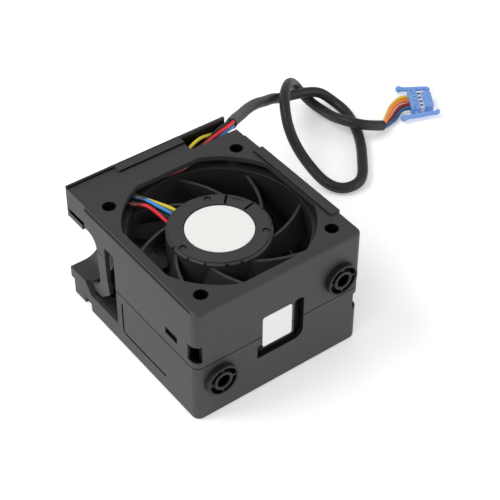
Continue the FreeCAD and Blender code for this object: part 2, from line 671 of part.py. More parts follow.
def make_lower_shell():
    shell = body("lower_case")
    joint = "parting_height - parting_gap / 2"
    pad(shell, "XY_Plane", 0, joint, CASE_OUTLINE)
    round_edges(shell, "corner_round", is_upright_at("case_width / 2", "-case_front"))
    round_edges(shell, "edge_round", lambda edge: edge.CenterOfMass.z < 0.01
                and edge.CenterOfMass.y < size("corner_round - case_front"))
    pad(shell, "XY_Plane", 0, "lower_grip", box_loop("-grip_side", "grip_side", "frame_size / 2", "grip_back"))
    pad(shell, "XZ_Plane", "frame_size / 2 + wall / 2", "grip_back", scoop_outline("lower_grip", joint, False))
    pocket(shell, "XY_Plane", "wall", joint, box_loop("-(inside)", "inside", "-(inside)", "inside"))
    pocket(shell, "XY_Plane", -1, "wall + 1", OPENING)
    pocket(shell, "XY_Plane", -1, "wall + 1", *corner_circles("hole_bore / 2"))
    pocket(shell, "XY_Plane", "wall", joint,
           box_loop("wall + scoop_round - scoop_edge", "scoop_edge - scoop_round - wall",
                    "frame_size / 2 + wall + 0.3", "grip_back - wall"))
    for sign in ("", "-"):
        near, far = side_range(sign, "grip_side - 0.1", "case_width / 2")
        pad(shell, "YZ_Plane", near, far, [
            ("case_step - 0.5", "lower_grip - lower_band"),
            ("grip_back", "lower_grip - lower_band"),
            ("grip_back", "lower_grip"),
            ("frame_size / 2 + wall", "lower_grip"),
            ("case_step - 0.5", "window_sill"),
        ])
        near, far = side_range(sign, "inside - 0.1", "case_width / 2 + 1")
        pocket(shell, "YZ_Plane", near, far, [
            ("window_front", "window_sill"),
            ("window_ramp", "window_sill"),
            ("frame_size / 2 + wall", "lower_grip"),
            ("frame_size / 2 + wall", "parting_height + 1"),
            ("window_front", "parting_height + 1"),
        ])
        pocket(shell, "XY_Plane", -1, "foot_relief", box_loop(near, far, "foot_start", "foot_end"))
        snap_tab(shell, sign)
        cut_back_corner(shell, sign, "lower_grip", f"{joint} + 1")
    cut_corner_window(shell, "", "case_height - corner_window_high", "case_height - corner_window_low")
    cut_front_slot(shell)
    cut_mount_hole(shell, "-mount_across", "mount_low")
    near, far = side_range("-", "case_width / 2 - groove_deep", "case_width / 2 + 1")
    pocket(shell, "YZ_Plane", near, far, [
        ("-groove_end", "groove_level"),
        ("groove_upright - groove_round", "groove_level", "groove_round", "left"),
        ("groove_upright", "groove_level + groove_round"),
        ("groove_upright", "groove_top"),
        ("groove_upright - groove_wide", "groove_top"),
        ("groove_upright - groove_wide", "groove_level + groove_round", "groove_round - groove_wide", "right"),
        ("groove_upright - groove_round", "groove_level + groove_wide"),
        ("-groove_end", "groove_level + groove_wide"),
    ])
    shell.Label = "lower_shell"
    return shell


def snap_tab(shell, sign):
    """A spring tab of the lower shell that snaps into the upper shell's side slot."""
    gap = "parting_gap / 2"
    low, high = "-snap_front + 0.4", "-snap_back - 0.4"
    near, far = side_range(sign, "inside - 1.3", f"inside - {gap}")
    pad(shell, "XY_Plane", "parting_height - 6", "snap_high + 1", box_loop(near, far, low, high))
    near, far = side_range(sign, "inside - 0.3", "inside + 0.2")
    pad(shell, "XY_Plane", "parting_height - 6", "parting_height - 1", box_loop(near, far, low, high))
    near, far = side_range(sign, "inside - 0.3", "inside + 1.1")
    pad(shell, "XY_Plane", "snap_low + 0.3", "snap_high - 0.3", box_loop(near, far, low, high))


def polar(radius, angle):
    return (f"({radius}) * cos({angle})", f"({radius}) * sin({angle})")


def make_fan_frame():
    frame = body("fan_frame")
    half = "frame_size / 2"
    pad(frame, "XY_Plane", "frame_lift", "frame_top", box_loop(f"-{half}", half, f"-{half}", half), (0, 0, "bore_reach"))
    round_edges(frame, "frame_round", lambda edge: is_upright_at(half, half)(edge)
                or is_upright_at(half, f"-{half}")(edge))
    pocket(frame, "XY_Plane", "frame_lift + flange", "frame_top - flange",
           box_loop(f"-{half} - 1", f"{half} + 1", f"-{half} - 1", f"{half} + 1"), (0, 0, "bore_reach + duct_wall"))
    pocket(frame, "XY_Plane", "frame_lift - 1", "frame_top + 1", *corner_circles("hole_bore / 2"))
    return frame


def make_motor_base():
    """The dish that carries the motor, with its swept guide vanes and the bearing tube."""
    base = body("motor_base")
    # one guide vane, lofted from its upper to its turned lower outline, then repeated and trimmed to the duct
    top_face = sketch_on(base, "XY_Plane", "vane_top", [vane_outline("0")])
    low_face = sketch_on(base, "XY_Plane", "vane_low", [vane_outline("-vane_twist")])
    vane = base.newObject("PartDesign::AdditiveLoft", "guide_vane")
    vane.Profile = top_face
    vane.Sections = [low_face]
    vane.Ruled = True
    doc.recompute()
    around(base, [vane], "vane_count")
    # a dish with a raised ring, a label recess and the bearing tube
    revolve(base, [
        ("bearing_bore", "upper_seat"),
        ("bearing_bore", "base_roof"),
        (0, "base_roof"),
        (0, "base_top + 0.2"),
        ("recess_reach", "base_top + 0.2"),
        ("recess_reach", "base_ring"),
        ("base_reach - ring_inset", "base_ring"),
        ("base_reach - ring_inset", "base_ring - ring_step"),
        ("base_reach - ring_step", "base_ring - ring_step"),
        ("base_reach", "base_ring - 2 * ring_step"),
        ("base_reach", "base_low"),
        ("base_reach - base_wall", "base_low"),
        ("base_reach - base_wall", "base_roof"),
        ("tube_reach", "base_roof"),
        ("tube_reach", "tube_low"),
        ("bearing_bore", "tube_low"),
        ("bearing_bore", "lower_seat + bearing_depth"),
        ("shoulder_bore", "lower_seat + bearing_depth"),
        ("shoulder_bore", "upper_seat"),
    ])
    pocket(base, "XY_Plane", "vane_low - 1", "vane_top + 1", (0, 0, "bore_reach + 2"), (0, 0, "bore_reach"))
    # the gap under the rim where the leads come out
    pocket(base, "XY_Plane", "base_top - lead_gap_deep", "base_ring - 0.8", [
        polar("base_reach - 3.2", "lead_turn - lead_half"),
        polar("base_reach + 1", "lead_turn - lead_half"),
        polar("base_reach + 1", "lead_turn + lead_half"),
        polar("base_reach - 3.2", "lead_turn + lead_half"),
    ])
    # dimples and slits in the raised ring
    pocket(base, "XY_Plane", "base_ring - dimple_deep", "base_ring + 1",
           *[(*polar("base_reach - 2.5", turn), "dimple_reach") for turn in (69.5, 183, 319)])
    pocket(base, "XY_Plane", "base_ring - dimple_deep", "base_ring + 1",
           *[slit_outline(turn) for turn in (46, 12)])
    return base


def slit_outline(turn):
    """A radial slit across the raised ring, seen from above."""
    inner, outer = "recess_reach + 0.3", "base_reach - ring_inset - 0.3"
    half = "90 * slit_wide / (pi * recess_reach)"
    return [polar(inner, f"{turn} - {half}"), polar(outer, f"{turn} - {half}"),
            polar(outer, f"{turn} + {half}"), polar(inner, f"{turn} + {half}")]


def vane_outline(turn):
    """A guide vane seen from above: two near-parallel arcs from the motor base out to the duct."""
    inner, outer = "base_reach - 0.4", "bore_reach + 0.4"
    inner_half = f"90 * vane_thick * vane_slant / (pi * ({inner}))"
    outer_half = f"90 * vane_thick * vane_slant / (pi * ({outer}))"
    return [
        (*polar(inner, f"{turn} - {inner_half}"), "vane_bow", "left"),
        polar(outer, f"{turn} + vane_sweep - {outer_half}"),
        (*polar(outer, f"{turn} + vane_sweep + {outer_half}"), "vane_bow", "right"),
        polar(inner, f"{turn} + {inner_half}"),
    ]


def make_impeller():
    rotor = body("impeller")
    pad(rotor, "XY_Plane", "hub_low", "hub_top", (0, 0, "hub_reach"))
    round_edges(rotor, "hub_nose", lambda edge: edge.CenterOfMass.z < size("hub_low") + 0.01)
    # one blade, lofted from its steep root to its flatter tip
    root = sketch_on(rotor, "YZ_Plane", "hub_reach - 3", [blade_section("root_chord", "root_pitch", "blade_thick")])
    tip = sketch_on(rotor, "YZ_Plane", "bore_reach", [blade_section("tip_chord", "tip_pitch", "blade_thick / 2")])
    blade = rotor.newObject("PartDesign::AdditiveLoft", "blade")
    blade.Profile = root
    blade.Sections = [tip]
    blade.Ruled = True
    doc.recompute()
    around(rotor, [blade], "blade_count")
    pocket(rotor, "XY_Plane", "hub_low - 3", "hub_top + 3", (0, 0, "bore_reach + 12"), (0, 0, "bore_reach - tip_gap"))
    pocket(rotor, "XY_Plane", "hub_low + hub_floor", "hub_top + 3", (0, 0, "hub_reach - hub_wall"))
    pad(rotor, "XY_Plane", "hub_low + 0.5", "boss_top", (0, 0, "boss_reach"), (0, 0, "shaft_reach + bond_gap"))
    return rotor


def blade_section(chord, pitch, thick):
    """A blade cut across its span: two arcs between a blunt leading and a blunt trailing edge.

    The chord stands at the pitch angle to the plane of rotation, centred on the blade's mid height."""
    middle = "(blade_low + blade_top) / 2"
    edge = "blade_edge"

    def point(side, shift):
        return (f"{side}({chord}) / 2 * cos({pitch}) + ({shift})", f"{middle} {side or '+'} ({chord}) / 2 * sin({pitch})")

    outer_bow = f"({chord}) * (({chord}) / (8 * (blade_camber + {thick})) + (blade_camber + {thick}) / (2 * ({chord})))"
    inner_bow = f"({chord}) * (({chord}) / (8 * blade_camber) + blade_camber / (2 * ({chord})))"
    return [
        (*point("-", f"{edge} / 2"), outer_bow, "left"),
        point("", f"{edge} / 2"),
        (*point("", f"-{edge} / 2"), inner_bow, "right"),
        point("-", f"-{edge} / 2"),
    ]


def ring_loop(inner, outer, low, high):
    """The section of a plain ring."""
    return box_loop(inner, outer, low, high)


def make_rotor_inside():
    """The steel cup, the magnet in it, the shaft with its clip groove, the preload washer and the clip."""
    floor = "hub_low + hub_floor + bond_gap"
    cup = turned("rotor_cup", [
        ("boss_reach + bond_gap", floor),
        ("cup_outside", floor),
        ("cup_outside", "hub_top"),
        ("cup_bore", "hub_top"),
        ("cup_bore", f"{floor} + cup_wall"),
        ("boss_reach + bond_gap", f"{floor} + cup_wall"),
    ])
    magnet = turned("magnet_ring", ring_loop("magnet_bore", "magnet_outside", "core_low - 1.5", "core_high + 1.5"))
    tip = "shaft_reach - 0.3"
    shaft = turned("shaft", [
        (0, "hub_low + hub_floor"),
        ("shaft_reach", "hub_low + hub_floor"),
        ("shaft_reach", "clip_low"),
        ("shaft_reach - clip_groove", "clip_low"),
        ("shaft_reach - clip_groove", "clip_low + clip_thick"),
        ("shaft_reach", "clip_low + clip_thick"),
        ("shaft_reach", "shaft_top - 0.3"),
        (tip, "shaft_top"),
        (0, "shaft_top"),
    ])
    washer = turned("preload_washer", [
        ("shaft_reach + 0.1", "boss_top"),
        ("boss_reach - 0.5", "boss_top"),
        ("boss_reach - 0.5", "boss_top + 0.25"),
        ("shaft_reach + 0.7", "lower_seat - 0.1"),
        ("shaft_reach + 0.1", "lower_seat - 0.1"),
    ])
    clip = body("retaining_clip")
    pad(clip, "XY_Plane", "clip_low + 0.02", "clip_low + clip_thick - 0.02",
        (0, 0, "clip_reach"), (0, 0, "shaft_reach - clip_groove + 0.02"))
    pocket(clip, "XY_Plane", "clip_low", "clip_low + clip_thick",
           box_loop(0, "clip_reach + 1", "0.2 - shaft_reach", "shaft_reach - 0.2"))
    return [cup, magnet, shaft, washer, clip]


def make_bearing(label, seat):
    """A shielded ball bearing: the shields lie a little below the faces of the two races."""
    low, high = seat, f"{seat} + bearing_depth"
    bore, shield_in, shield_out = "shaft_reach + run_gap", "shaft_reach + 0.8", "bearing_reach - 0.8"
    return turned(label, [
        (bore, low), (shield_in, low), (shield_in, f"{low} + 0.25"), (shield_out, f"{low} + 0.25"),
        (shield_out, low), ("bearing_reach", low), ("bearing_reach", high), (shield_out, high),
        (shield_out, f"{high} - 0.25"), (shield_in, f"{high} - 0.25"), (shield_in, high), (bore, high),
    ])


def pole_outline(half_width, shoe_in, shoe_out, half_angle):
    """One pole seen along the axis: a neck with a curved shoe, pointing to +X."""
    corner = f"sqrt(({shoe_in})^2 - ({half_width})^2)"
    return [
        ("core_hub - 0.5", f"-({half_width})"),
        (corner, f"-({half_width})", shoe_in, "right"),
        polar(shoe_in, f"-({half_angle})"),
        (*polar(shoe_out, f"-({half_angle})"), shoe_out, "left"),
        polar(shoe_out, half_angle),
        (*polar(shoe_in, half_angle), shoe_in, "right"),
        (corner, half_width),
        ("core_hub - 0.5", half_width),
    ]


def make_stator():
    """The core with its poles, an insulator on each face, the windings round the necks."""
    inner = "tube_reach + bond_gap"
    core = body("stator_core")
    pad(core, "XY_Plane", "core_low", "core_high", (0, 0, "core_hub"), (0, 0, inner))
    pole = pad(core, "XY_Plane", "core_low", "core_high",
               pole_outline("neck_half", "shoe_bore", "stator_reach", "shoe_half"))
    around(core, [pole], "pole_count")
    pieces = [core]
    for label, low, high, rim_low, rim_high, top in (
        ("insulator_upper", "core_high", "core_high + insulator_thick", "core_high", "core_high + rim_tall", True),
        ("insulator_lower", "core_low - insulator_thick", "core_low", "core_low - rim_tall", "core_low", False),
    ):
        piece = body(label)
        pad(piece, "XY_Plane", rim_low, rim_high, (0, 0, "core_hub + 0.3"), (0, 0, inner))
        arm = pad(piece, "XY_Plane", low, high,
                  pole_outline("neck_half + 0.3", "shoe_bore + 0.3", "stator_reach - 0.3", "shoe_half - 4"))
        rim = pad(piece, "XY_Plane", rim_low, rim_high, [
            (*polar("shoe_bore + 0.3", "-20"), "shoe_bore + 0.3", "left"),
            polar("shoe_bore + 0.3", "20"),
            (*polar("post_reach", "20"), "post_reach", "right"),
            polar("post_reach", "-20"),
        ])
        around(piece, [arm, rim], "pole_count")
        if top:
            post = pad(piece, "XY_Plane", "core_high + 1", "board_low", [
                (*polar("shoe_bore + 0.3", "-5"), "shoe_bore + 0.3", "left"),
                polar("shoe_bore + 0.3", "5"),
                (*polar("post_reach", "5"), "post_reach", "right"),
                polar("post_reach", "-5"),
            ])
            around(piece, [post], "pole_count")
        pieces.append(piece)
    # the windings stand round the necks, between the inner ring and the shoes
    coils = body("stator_windings")
    gap = "neck_half + 0.3 + bond_gap"
    low = "core_low - insulator_thick - bond_gap"
    high = "core_high + insulator_thick + bond_gap"
    outer = f"({gap} + coil_deep)"
    coil = pad(coils, "YZ_Plane", "core_hub + 0.7", f"sqrt((shoe_bore - 0.3)^2 - {outer}^2)",
               box_loop(f"-{outer}", outer, f"{low} - coil_deep", f"{high} + coil_deep"),
               box_loop(f"-({gap})", gap, low, high))
    around(coils, [coil], "pole_count")
    pieces.append(coils)
    return pieces


def make_board():
    board = body("circuit_board")
    pad(board, "XY_Plane", "board_low", "board_low + board_thick",
        (0, 0, "board_reach"), (0, 0, "tube_reach + 0.3"))
    chips = body("board_chips")
    face = "board_low + board_thick"
    edge = "(board_reach - chip_margin)"
    pad(chips, "XY_Plane", face, f"{face} + chip_tall",
        box_loop("-chip_long / 2", "chip_long / 2", f"{edge} - chip_wide", edge),
        box_loop(f"-{edge}", f"chip_wide - {edge}", "-chip_long / 2", "chip_long / 2"))
    pad(chips, "XY_Plane", face, f"{face} + can_tall", (*polar("tube_reach + 3 * can_reach", -40), "can_reach"),
        box_loop(f"{edge} - chip_wide", edge, "can_reach / 2", "can_reach / 2 + chip_wide"))
    return [board, chips]


def make_dampers(label, low, high):
    """A rubber ring at each corner between the fan frame and the case."""
    piece = body(label)
    pad(piece, "XY_Plane", f"{low} + pad_gap", f"{high} - pad_gap",
        *corner_circles("pad_reach"), *corner_circles("hole_bore / 2"))
    return piece


def make_isolator(side, x, z):
    """A rubber isolator in the front wall: a neck through the wall, a flange, and a sleeve held by four webs."""
    piece = body(f"isolator_{side}")
    face = "-case_front"
    pad(piece, "XZ_Plane", f"{face} - bond_gap", "-(inside) - 0.05", (x, z, "mount_neck"), (x, z, "mount_bore"))
    pad(piece, "XZ_Plane", f"{face} - mount_proud", f"{face} - bond_gap", (x, z, "mount_ring"), (x, z, "mount_bore"))
    pocket(piece, "XZ_Plane", f"{face} - mount_proud", f"{face} - 0.6",
           (x, z, "mount_gap_outer"), (x, z, "mount_inner"))
    web = 0.45
    reach = "(mount_gap_outer + 0.2)"
    inner = "(mount_inner - 0.2)"
    pad(piece, "XZ_Plane", f"{face} - mount_proud + 0.4", f"{face} - 0.5",
        box_loop(f"{x} - {web}", f"{x} + {web}", f"{z} + {inner}", f"{z} + {reach}"),
        box_loop(f"{x} - {web}", f"{x} + {web}", f"{z} - {reach}", f"{z} - {inner}"),
        box_loop(f"{x} + {inner}", f"{x} + {reach}", f"{z} - {web}", f"{z} + {web}"),
        box_loop(f"{x} - {reach}", f"{x} - {inner}", f"{z} - {web}", f"{z} + {web}"))
    return piece


def make_labels():
    hub = body("hub_label")
    pad(hub, "XY_Plane", "base_top + 0.2", "base_top + 0.2 + label_thick", (0, 0, "hub_label_reach"))
    front = body("face_label")
    pad(front, "XZ_Plane", "-case_front - label_thick", "-case_front",
        box_loop("-label_left", "label_right", "label_low", "label_high"))
    return [hub, front]


def route_edges(points, label):
    """Straight runs joined by tangent arcs, each as large as its two runs allow."""
    runs = [points[n + 1] - points[n] for n in range(len(points) - 1)]
    edges = []
    start = points[0]
    length = 0
    radii = []
    for number in range(1, len(points) - 1):
        before, after = runs[number - 1], runs[number]
        corner = points[number]
        turn = before.getAngle(after)
        cut = 0.45 * min(before.Length, after.Length)
        radius = cut / math.tan(turn / 2)
        radii.append(radius)
        to_arc = corner - before.normalize() * cut
        from_arc = corner + Vector(after).normalize() * cut
        towards_centre = ((to_arc - corner) + (from_arc - corner)).normalize()
        middle = corner + towards_centre * (radius / math.cos(turn / 2) - radius)
        edges.append(Part.LineSegment(start, to_arc).toShape())
        edges.append(Part.Arc(to_arc, middle, from_arc).toShape())
        length += (to_arc - start).Length + radius * turn
        start = from_arc
    edges.append(Part.LineSegment(start, points[-1]).toShape())
    length += (points[-1] - start).Length
    print(f"{label}: length {length:.1f}, smallest radius {min(radii):.1f}, radii",
          " ".join(f"{radius:.0f}" for radius in radii), flush=True)
    return edges, length


def tube(label, route, reach):
    """A round cord along its route."""
    points = [Vector(*[size(value) for value in point]) for point in route]
    edges, length = route_edges(points, label)
    path = Part.Wire(edges)
    section = Part.Wire(Part.Circle(points[0], points[1] - points[0], size(reach)).toShape())
    shape = path.makePipeShell([section], True, False)
    expected = math.pi * size(reach) ** 2 * length
    if abs(shape.Volume / expected - 1) > 0.005:
        raise RuntimeError(f"{label}: volume {shape.Volume:.1f}, section times length {expected:.1f}")
    piece = doc.addObject("Part::Feature", label)
    piece.Shape = shape
    piece.Label = label
    return piece


SLEEVE_ROUTE = [
    (33.5, 39.5, 43.4), (39, 45, 39.5), (45.5, 50.5, 35), (51.5, 55.5, 31.5), (57, 59.5, 28.5), (63, 63.5, 25),
    (69, 67, 21), (75.5, 70.5, 17.5), (81.5, 73, 13.5), (89, 74.5, 11), (96, 75, 9), (102, 74, 7),
    (105.5, 70, 3.5), (106.5, 64, 2.2), (104.5, 57, 2.2), (101.5, 50, 2.2), (97, 42.5, 2.2), (92, 36, 2.2),
    (86.5, 29, 2.2), (81.5, 26, 2.2), (75, 27, 2.2), (71.5, 32.5, 3), (71, 41.5, 5.5), (70.5, 49, 10),
    (71, 55, 15.5), (74, 61, 19.5), (78.5, 67, 20), (84, 72.5, 18.5), (89.5, 77.5, 15), (94, 80.5, 10.5),
    (97, 79.5, 5.5), (99, 74.5, 2.2), (99.5, 68, 2.2), (97.5, 61, 5), (97, 54.5, 7.5), (100, 49, 7.5),
    (105, 46.5, 6), (111.5, 47.5, 2.5),
]


LEAD_ROUTES = {
    "red": [
        (-6.6, 8.2, 36.9), (-8.25, 10.3, 37.9), (-10.45, 12.9, 39.55), (-12.3, 18.7, 42.4), (-13.7, 21.7, 43.4),
        (-15.1, 24.3, 44), (-13.9, 26.3, 44.15), (-11.2, 27.3, 44.05), (-8.4, 27.9, 43.55), (-2.5, 28.3, 43.45),
        (2.5, 28.3, 43.4), (7.5, 28.8, 43.4), (12, 31.2, 43.4), (15.8, 34, 43.5), (19.6, 35.4, 43.6),
        (23.6, 36.5, 43.8), (27.4, 37.3, 44.2), (30.6, 37.5, 44.7),
    ],
    "yellow": [
        (-2.4, 10.2, 36.9), (-3.3, 12.8, 37.9), (-4.6, 15.9, 39.55), (-7.1, 19, 41), (-10.2, 22.7, 41.7),
        (-11.1, 26.4, 42.65), (-9.6, 29.6, 42.7), (-5.6, 30.6, 42.7), (-0.5, 30.7, 42.7), (4.5, 31.4, 43.1),
        (9, 33.6, 43.5), (12.9, 36, 43.5), (17, 38, 43.7), (21.2, 39.3, 43.5), (24.4, 39.45, 42.7),
        (28.4, 39, 42.7),
    ],
    "blue": [
        (-3.8, 9.8, 36.9), (-5, 12.2, 37.9), (-6.5, 15.3, 39.55), (-10.1, 19.4, 42.2), (-12.1, 23.5, 43.1),
        (-12.9, 27, 42.75), (-11.8, 30.4, 42.8), (-8.4, 32, 43), (-3, 32.3, 43), (2.5, 32.8, 42.7),
        (7.5, 33.8, 42.05), (12, 34.4, 42.05), (16.2, 35, 42.1), (20.2, 35.4, 42.1), (24.2, 35.7, 42.1),
        (28, 36.3, 42.4), (31, 36.9, 43.1),
    ],
    "black": [
        (-5.25, 9.1, 36.9), (-6.6, 11.4, 37.9), (-8.3, 14.4, 39.55), (-11, 18.2, 40.95), (-13.2, 22.2, 42.1),
        (-15.6, 24.7, 42.9), (-16.4, 28, 42.7), (-14.9, 31.2, 42.7), (-11.4, 33.2, 42.7), (-6, 33.7, 42.4),
        (-0.5, 34.1, 41.8), (5, 35, 41.6), (8.5, 35.7, 41.9), (12, 36.2, 42.1), (16.4, 36.7, 42.1),
        (20.4, 37.4, 42.1), (23.4, 37.9, 42.7), (26, 38.5, 43.8), (28.6, 38.8, 44.7),
    ],
}
MOUTH_PLACES = {"red": (-0.75, 0.75), "yellow": (0.75, -0.75), "blue": (-0.75, -0.75), "black": (0.75, 0.75)}
TAIL_ROUTES = {
    "yellow": [(115.1, 50, 1.5), (118.9, 52.9, 1.2), (122.6, 55.6, 1.2), (126.4, 57.1, 1.6)],
    "red": [(115.4, 49.2, 2.6), (119.4, 51.9, 2.3), (123, 54.2, 2.1), (125.8, 55, 2.1)],
    "black": [(115.3, 48.2, 1), (119.7, 50.4, 0.8), (124, 52.9, 1.2)],
    "blue": [(115.6, 47.3, 1.8), (120.1, 48.8, 1.2), (123.4, 50.8, 1.4)],
}
TAIL_PLACES = {"yellow": (0.95, 0, 1.5), "red": (0, 0.95, 0.5), "black": (0, -0.95, -0.5), "blue": (-0.95, 0, -1.5)}


def sleeve_spot(at_start, across, up, outward):
    """A point beside one end of the sleeve, given in the plane of its end face and along its axis."""
    ends = [Vector(*point) for point in (SLEEVE_ROUTE[:2] if at_start else SLEEVE_ROUTE[:-3:-1])]
    inward = (ends[1] - ends[0]).normalize()
    level = Vector(-inward.y, inward.x, 0).normalize() * (1 if at_start else -1)
    rise = level.cross(inward) * (-1 if at_start else 1)
    return tuple(ends[0] + level * across + rise * up - inward * outward)


def plug_spot(along, across, up):
    """A point given in the plug's own frame: along its heading, across it, and up."""
    turn = math.radians(size("plug_turn"))
    x, y = size(along), size(across)
    return (
        size("plug_x") + x * math.cos(turn) - y * math.sin(turn),
        size("plug_y") + x * math.sin(turn) + y * math.cos(turn),
        size(up),
    )


def make_wires():
    """The four leads from the motor to the sleeve's mouth, and their tails from its far end to the plug."""
    pieces = []
    for colour, route in LEAD_ROUTES.items():
        across, up = MOUTH_PLACES[colour]
        ends = [sleeve_spot(True, across, up, 1.6), sleeve_spot(True, across, up, 0)]
        pieces.append(tube(f"lead_{colour}", route + ends, "wire_reach"))
    for colour, route in TAIL_ROUTES.items():
        across, up, place = TAIL_PLACES[colour]
        height = "plug_rest + plug_thick / 2"
        starts = [sleeve_spot(False, across, up, 0), sleeve_spot(False, across, up, 1.5)]
        ends = [plug_spot(along, f"{place} * contact_pitch", height) for along in ("-2.5", "wire_hole_deep")]
        pieces.append(tube(f"tail_{colour}", starts + route + ends, "wire_reach"))
    return pieces


def lay_on_floor(piece):
    """Turns and moves a piece of the plug from its own frame to where the plug lies."""
    piece.Placement = FreeCAD.Placement(Vector(0, 0, 0), FreeCAD.Rotation(Vector(0, 0, 1), size("plug_turn")))
    piece.setExpression("Placement.Base.x", bound("plug_x"))
    piece.setExpression("Placement.Base.y", bound("plug_y"))
    piece.setExpression("Placement.Rotation.Angle", bound("plug_turn"))
    doc.recompute()
    return piece


def make_plug():
    """The plug: a carrier bar and a narrower nose with the contact cavities, and two sprung latch arms."""
    bottom, top = "plug_rest", "(plug_rest + plug_thick)"
    half = "plug_wide / 2"
    middle = "(plug_rest + plug_thick / 2)"
    places = [f"{step} * contact_pitch" for step in (-1.5, -0.5, 0.5, 1.5)]
    housing = body("plug_housing")
    pad(housing, "XY_Plane", bottom, top, box_loop(0, "plug_bar", f"-{half}", half))
    pad(housing, "XY_Plane", f"{bottom} + nose_drop", f"{top} - nose_drop",
        box_loop("plug_bar - 0.5", "plug_long", f"nose_inset - {half}", f"{half} - nose_inset"))
    round_edges(housing, 0.6, lambda edge: edge.BoundBox.ZLength > 1
                and edge.BoundBox.XLength < 0.01 and edge.CenterOfMass.x > size("plug_long") - 0.01)
    pocket(housing, "YZ_Plane", "contact_back", "plug_long + 1",
           *[box_loop(f"{y} - cavity_half", f"{y} + cavity_half", f"{middle} - cavity_half", f"{middle} + cavity_half")
             for y in places])
    pocket(housing, "YZ_Plane", -1, "wire_hole_deep", *[(y, middle, "wire_reach + 0.08") for y in places])
    pocket(housing, "XY_Plane", f"{top} - 0.9", f"{top} + 1",
           *[box_loop(1.5, "plug_bar - 0.7", f"{y} - 0.35", f"{y} + 0.35") for y in places])
    pocket(housing, "XY_Plane", f"{middle} + 0.2", f"{top} + 1",
           *[box_loop("plug_bar + 0.1", "contact_back + 0.5", f"{y} - 0.7", f"{y} + 0.7") for y in places])
    contacts = body("plug_contacts")
    pad(contacts, "YZ_Plane", "contact_back", "plug_long - 0.4",
        *[box_loop(f"{y} - cavity_half + 0.25", f"{y} + cavity_half - 0.25",
                   f"{middle} - cavity_half + 0.25", f"{middle} + cavity_half - 0.25") for y in places])
    pieces = [housing, contacts]
    for side, sign in (("left", ""), ("right", "-")):
        turn = "left" if sign else "right"
        inner = f"({half} + latch_gap)"
        outer = f"({inner} + latch_thick)"
        tip = "(plug_long + latch_nose)"
        outline = [
            ("0.8 - latch_tail", inner), ("web_start", inner), ("web_start", f"{half} + web_gap"),
            ("web_start + web_wide", f"{half} + web_gap"), ("web_start + web_wide", inner),
            (f"{tip} - 1.3", inner), (f"{tip} - 1.1", f"{inner} - 1.1"), (f"{tip} - 0.6", f"{inner} - 1.1"),
            (tip, f"{inner} + 0.3"), (f"{tip} - 0.9", outer), ("web_start + web_wide", outer),
            ("-1.2", f"{outer} + 0.5"), ("0.8 - latch_tail", f"{outer} + 0.5", "latch_thick / 2 + 0.27", turn),
        ]
        outline = [(x, f"{sign}({y})", *arc) for x, y, *arc in outline]
        arm = body(f"plug_latch_{side}")
        pad(arm, "XY_Plane", f"{middle} - latch_tall / 2", f"{middle} + latch_tall / 2", outline)
        pieces.append(arm)
    return [lay_on_floor(piece) for piece in pieces]


def show(piece):
    box = piece.Shape.BoundBox
    print(piece.Label, len(piece.Shape.Solids), round(piece.Shape.Volume, 1), piece.Shape.isValid(),
          [round(v, 2) for v in (box.XMin, box.XMax, box.YMin, box.YMax, box.ZMin, box.ZMax)], flush=True)


pieces = [
    make_upper_shell(),
    make_lower_shell(),
    make_tongue("left", "-"),
    make_tongue("right", ""),
    make_fan_frame(),
    make_motor_base(),
    make_impeller(),
    *make_rotor_inside(),
    make_bearing("bearing_lower", "lower_seat"),
    make_bearing("bearing_upper", "upper_seat"),
    *make_stator(),
    *make_board(),
    make_dampers("dampers_top", "frame_lift + frame_depth", "case_height - wall"),
    make_dampers("dampers_bottom", "wall", "frame_lift"),
    make_isolator("right", "mount_across", "mount_high"),
    make_isolator("left", "-mount_across", "mount_low"),
    *make_labels(),
    tube("cable_sleeve", SLEEVE_ROUTE, "sleeve_reach"),
    *make_wires(),
    *make_plug(),
]

doc.recompute()
for item in doc.Objects:
    if {"Invalid", "Error"} & set(item.State):
        raise RuntimeError(f"{item.Label} failed")
os.makedirs("parts", exist_ok=True)
for piece in pieces:
    show(piece)
    if piece.Shape.isNull() or not piece.Shape.isValid():
        raise RuntimeError(f"{piece.Label} has no valid shape")
    piece.Shape.exportStep(f"parts/{piece.Label}.step")
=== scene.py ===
import json
import math
import bmesh
import bpy
import numpy as np
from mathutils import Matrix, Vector


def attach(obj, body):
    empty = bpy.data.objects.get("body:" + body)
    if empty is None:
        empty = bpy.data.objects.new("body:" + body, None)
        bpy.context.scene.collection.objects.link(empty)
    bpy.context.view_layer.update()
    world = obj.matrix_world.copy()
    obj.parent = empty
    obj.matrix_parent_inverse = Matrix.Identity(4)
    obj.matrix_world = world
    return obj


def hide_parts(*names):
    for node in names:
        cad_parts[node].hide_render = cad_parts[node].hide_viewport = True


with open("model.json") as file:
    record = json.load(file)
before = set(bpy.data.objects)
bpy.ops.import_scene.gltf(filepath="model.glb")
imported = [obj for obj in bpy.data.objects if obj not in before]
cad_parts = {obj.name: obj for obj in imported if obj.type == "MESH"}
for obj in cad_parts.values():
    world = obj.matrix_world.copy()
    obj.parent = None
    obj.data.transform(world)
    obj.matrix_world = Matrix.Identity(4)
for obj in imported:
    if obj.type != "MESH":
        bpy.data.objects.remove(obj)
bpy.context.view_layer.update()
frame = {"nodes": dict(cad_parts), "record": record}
mm = 0.001


# ---------- camera
cameraValues = {
    "place": (-203.647, -284.853, 349.090),  # mm
    "turn": (47.852, -0.350, -36.8265),  # degrees about X, Y, Z
    "lens": 106.286,
    "sensor": 36.0,
}


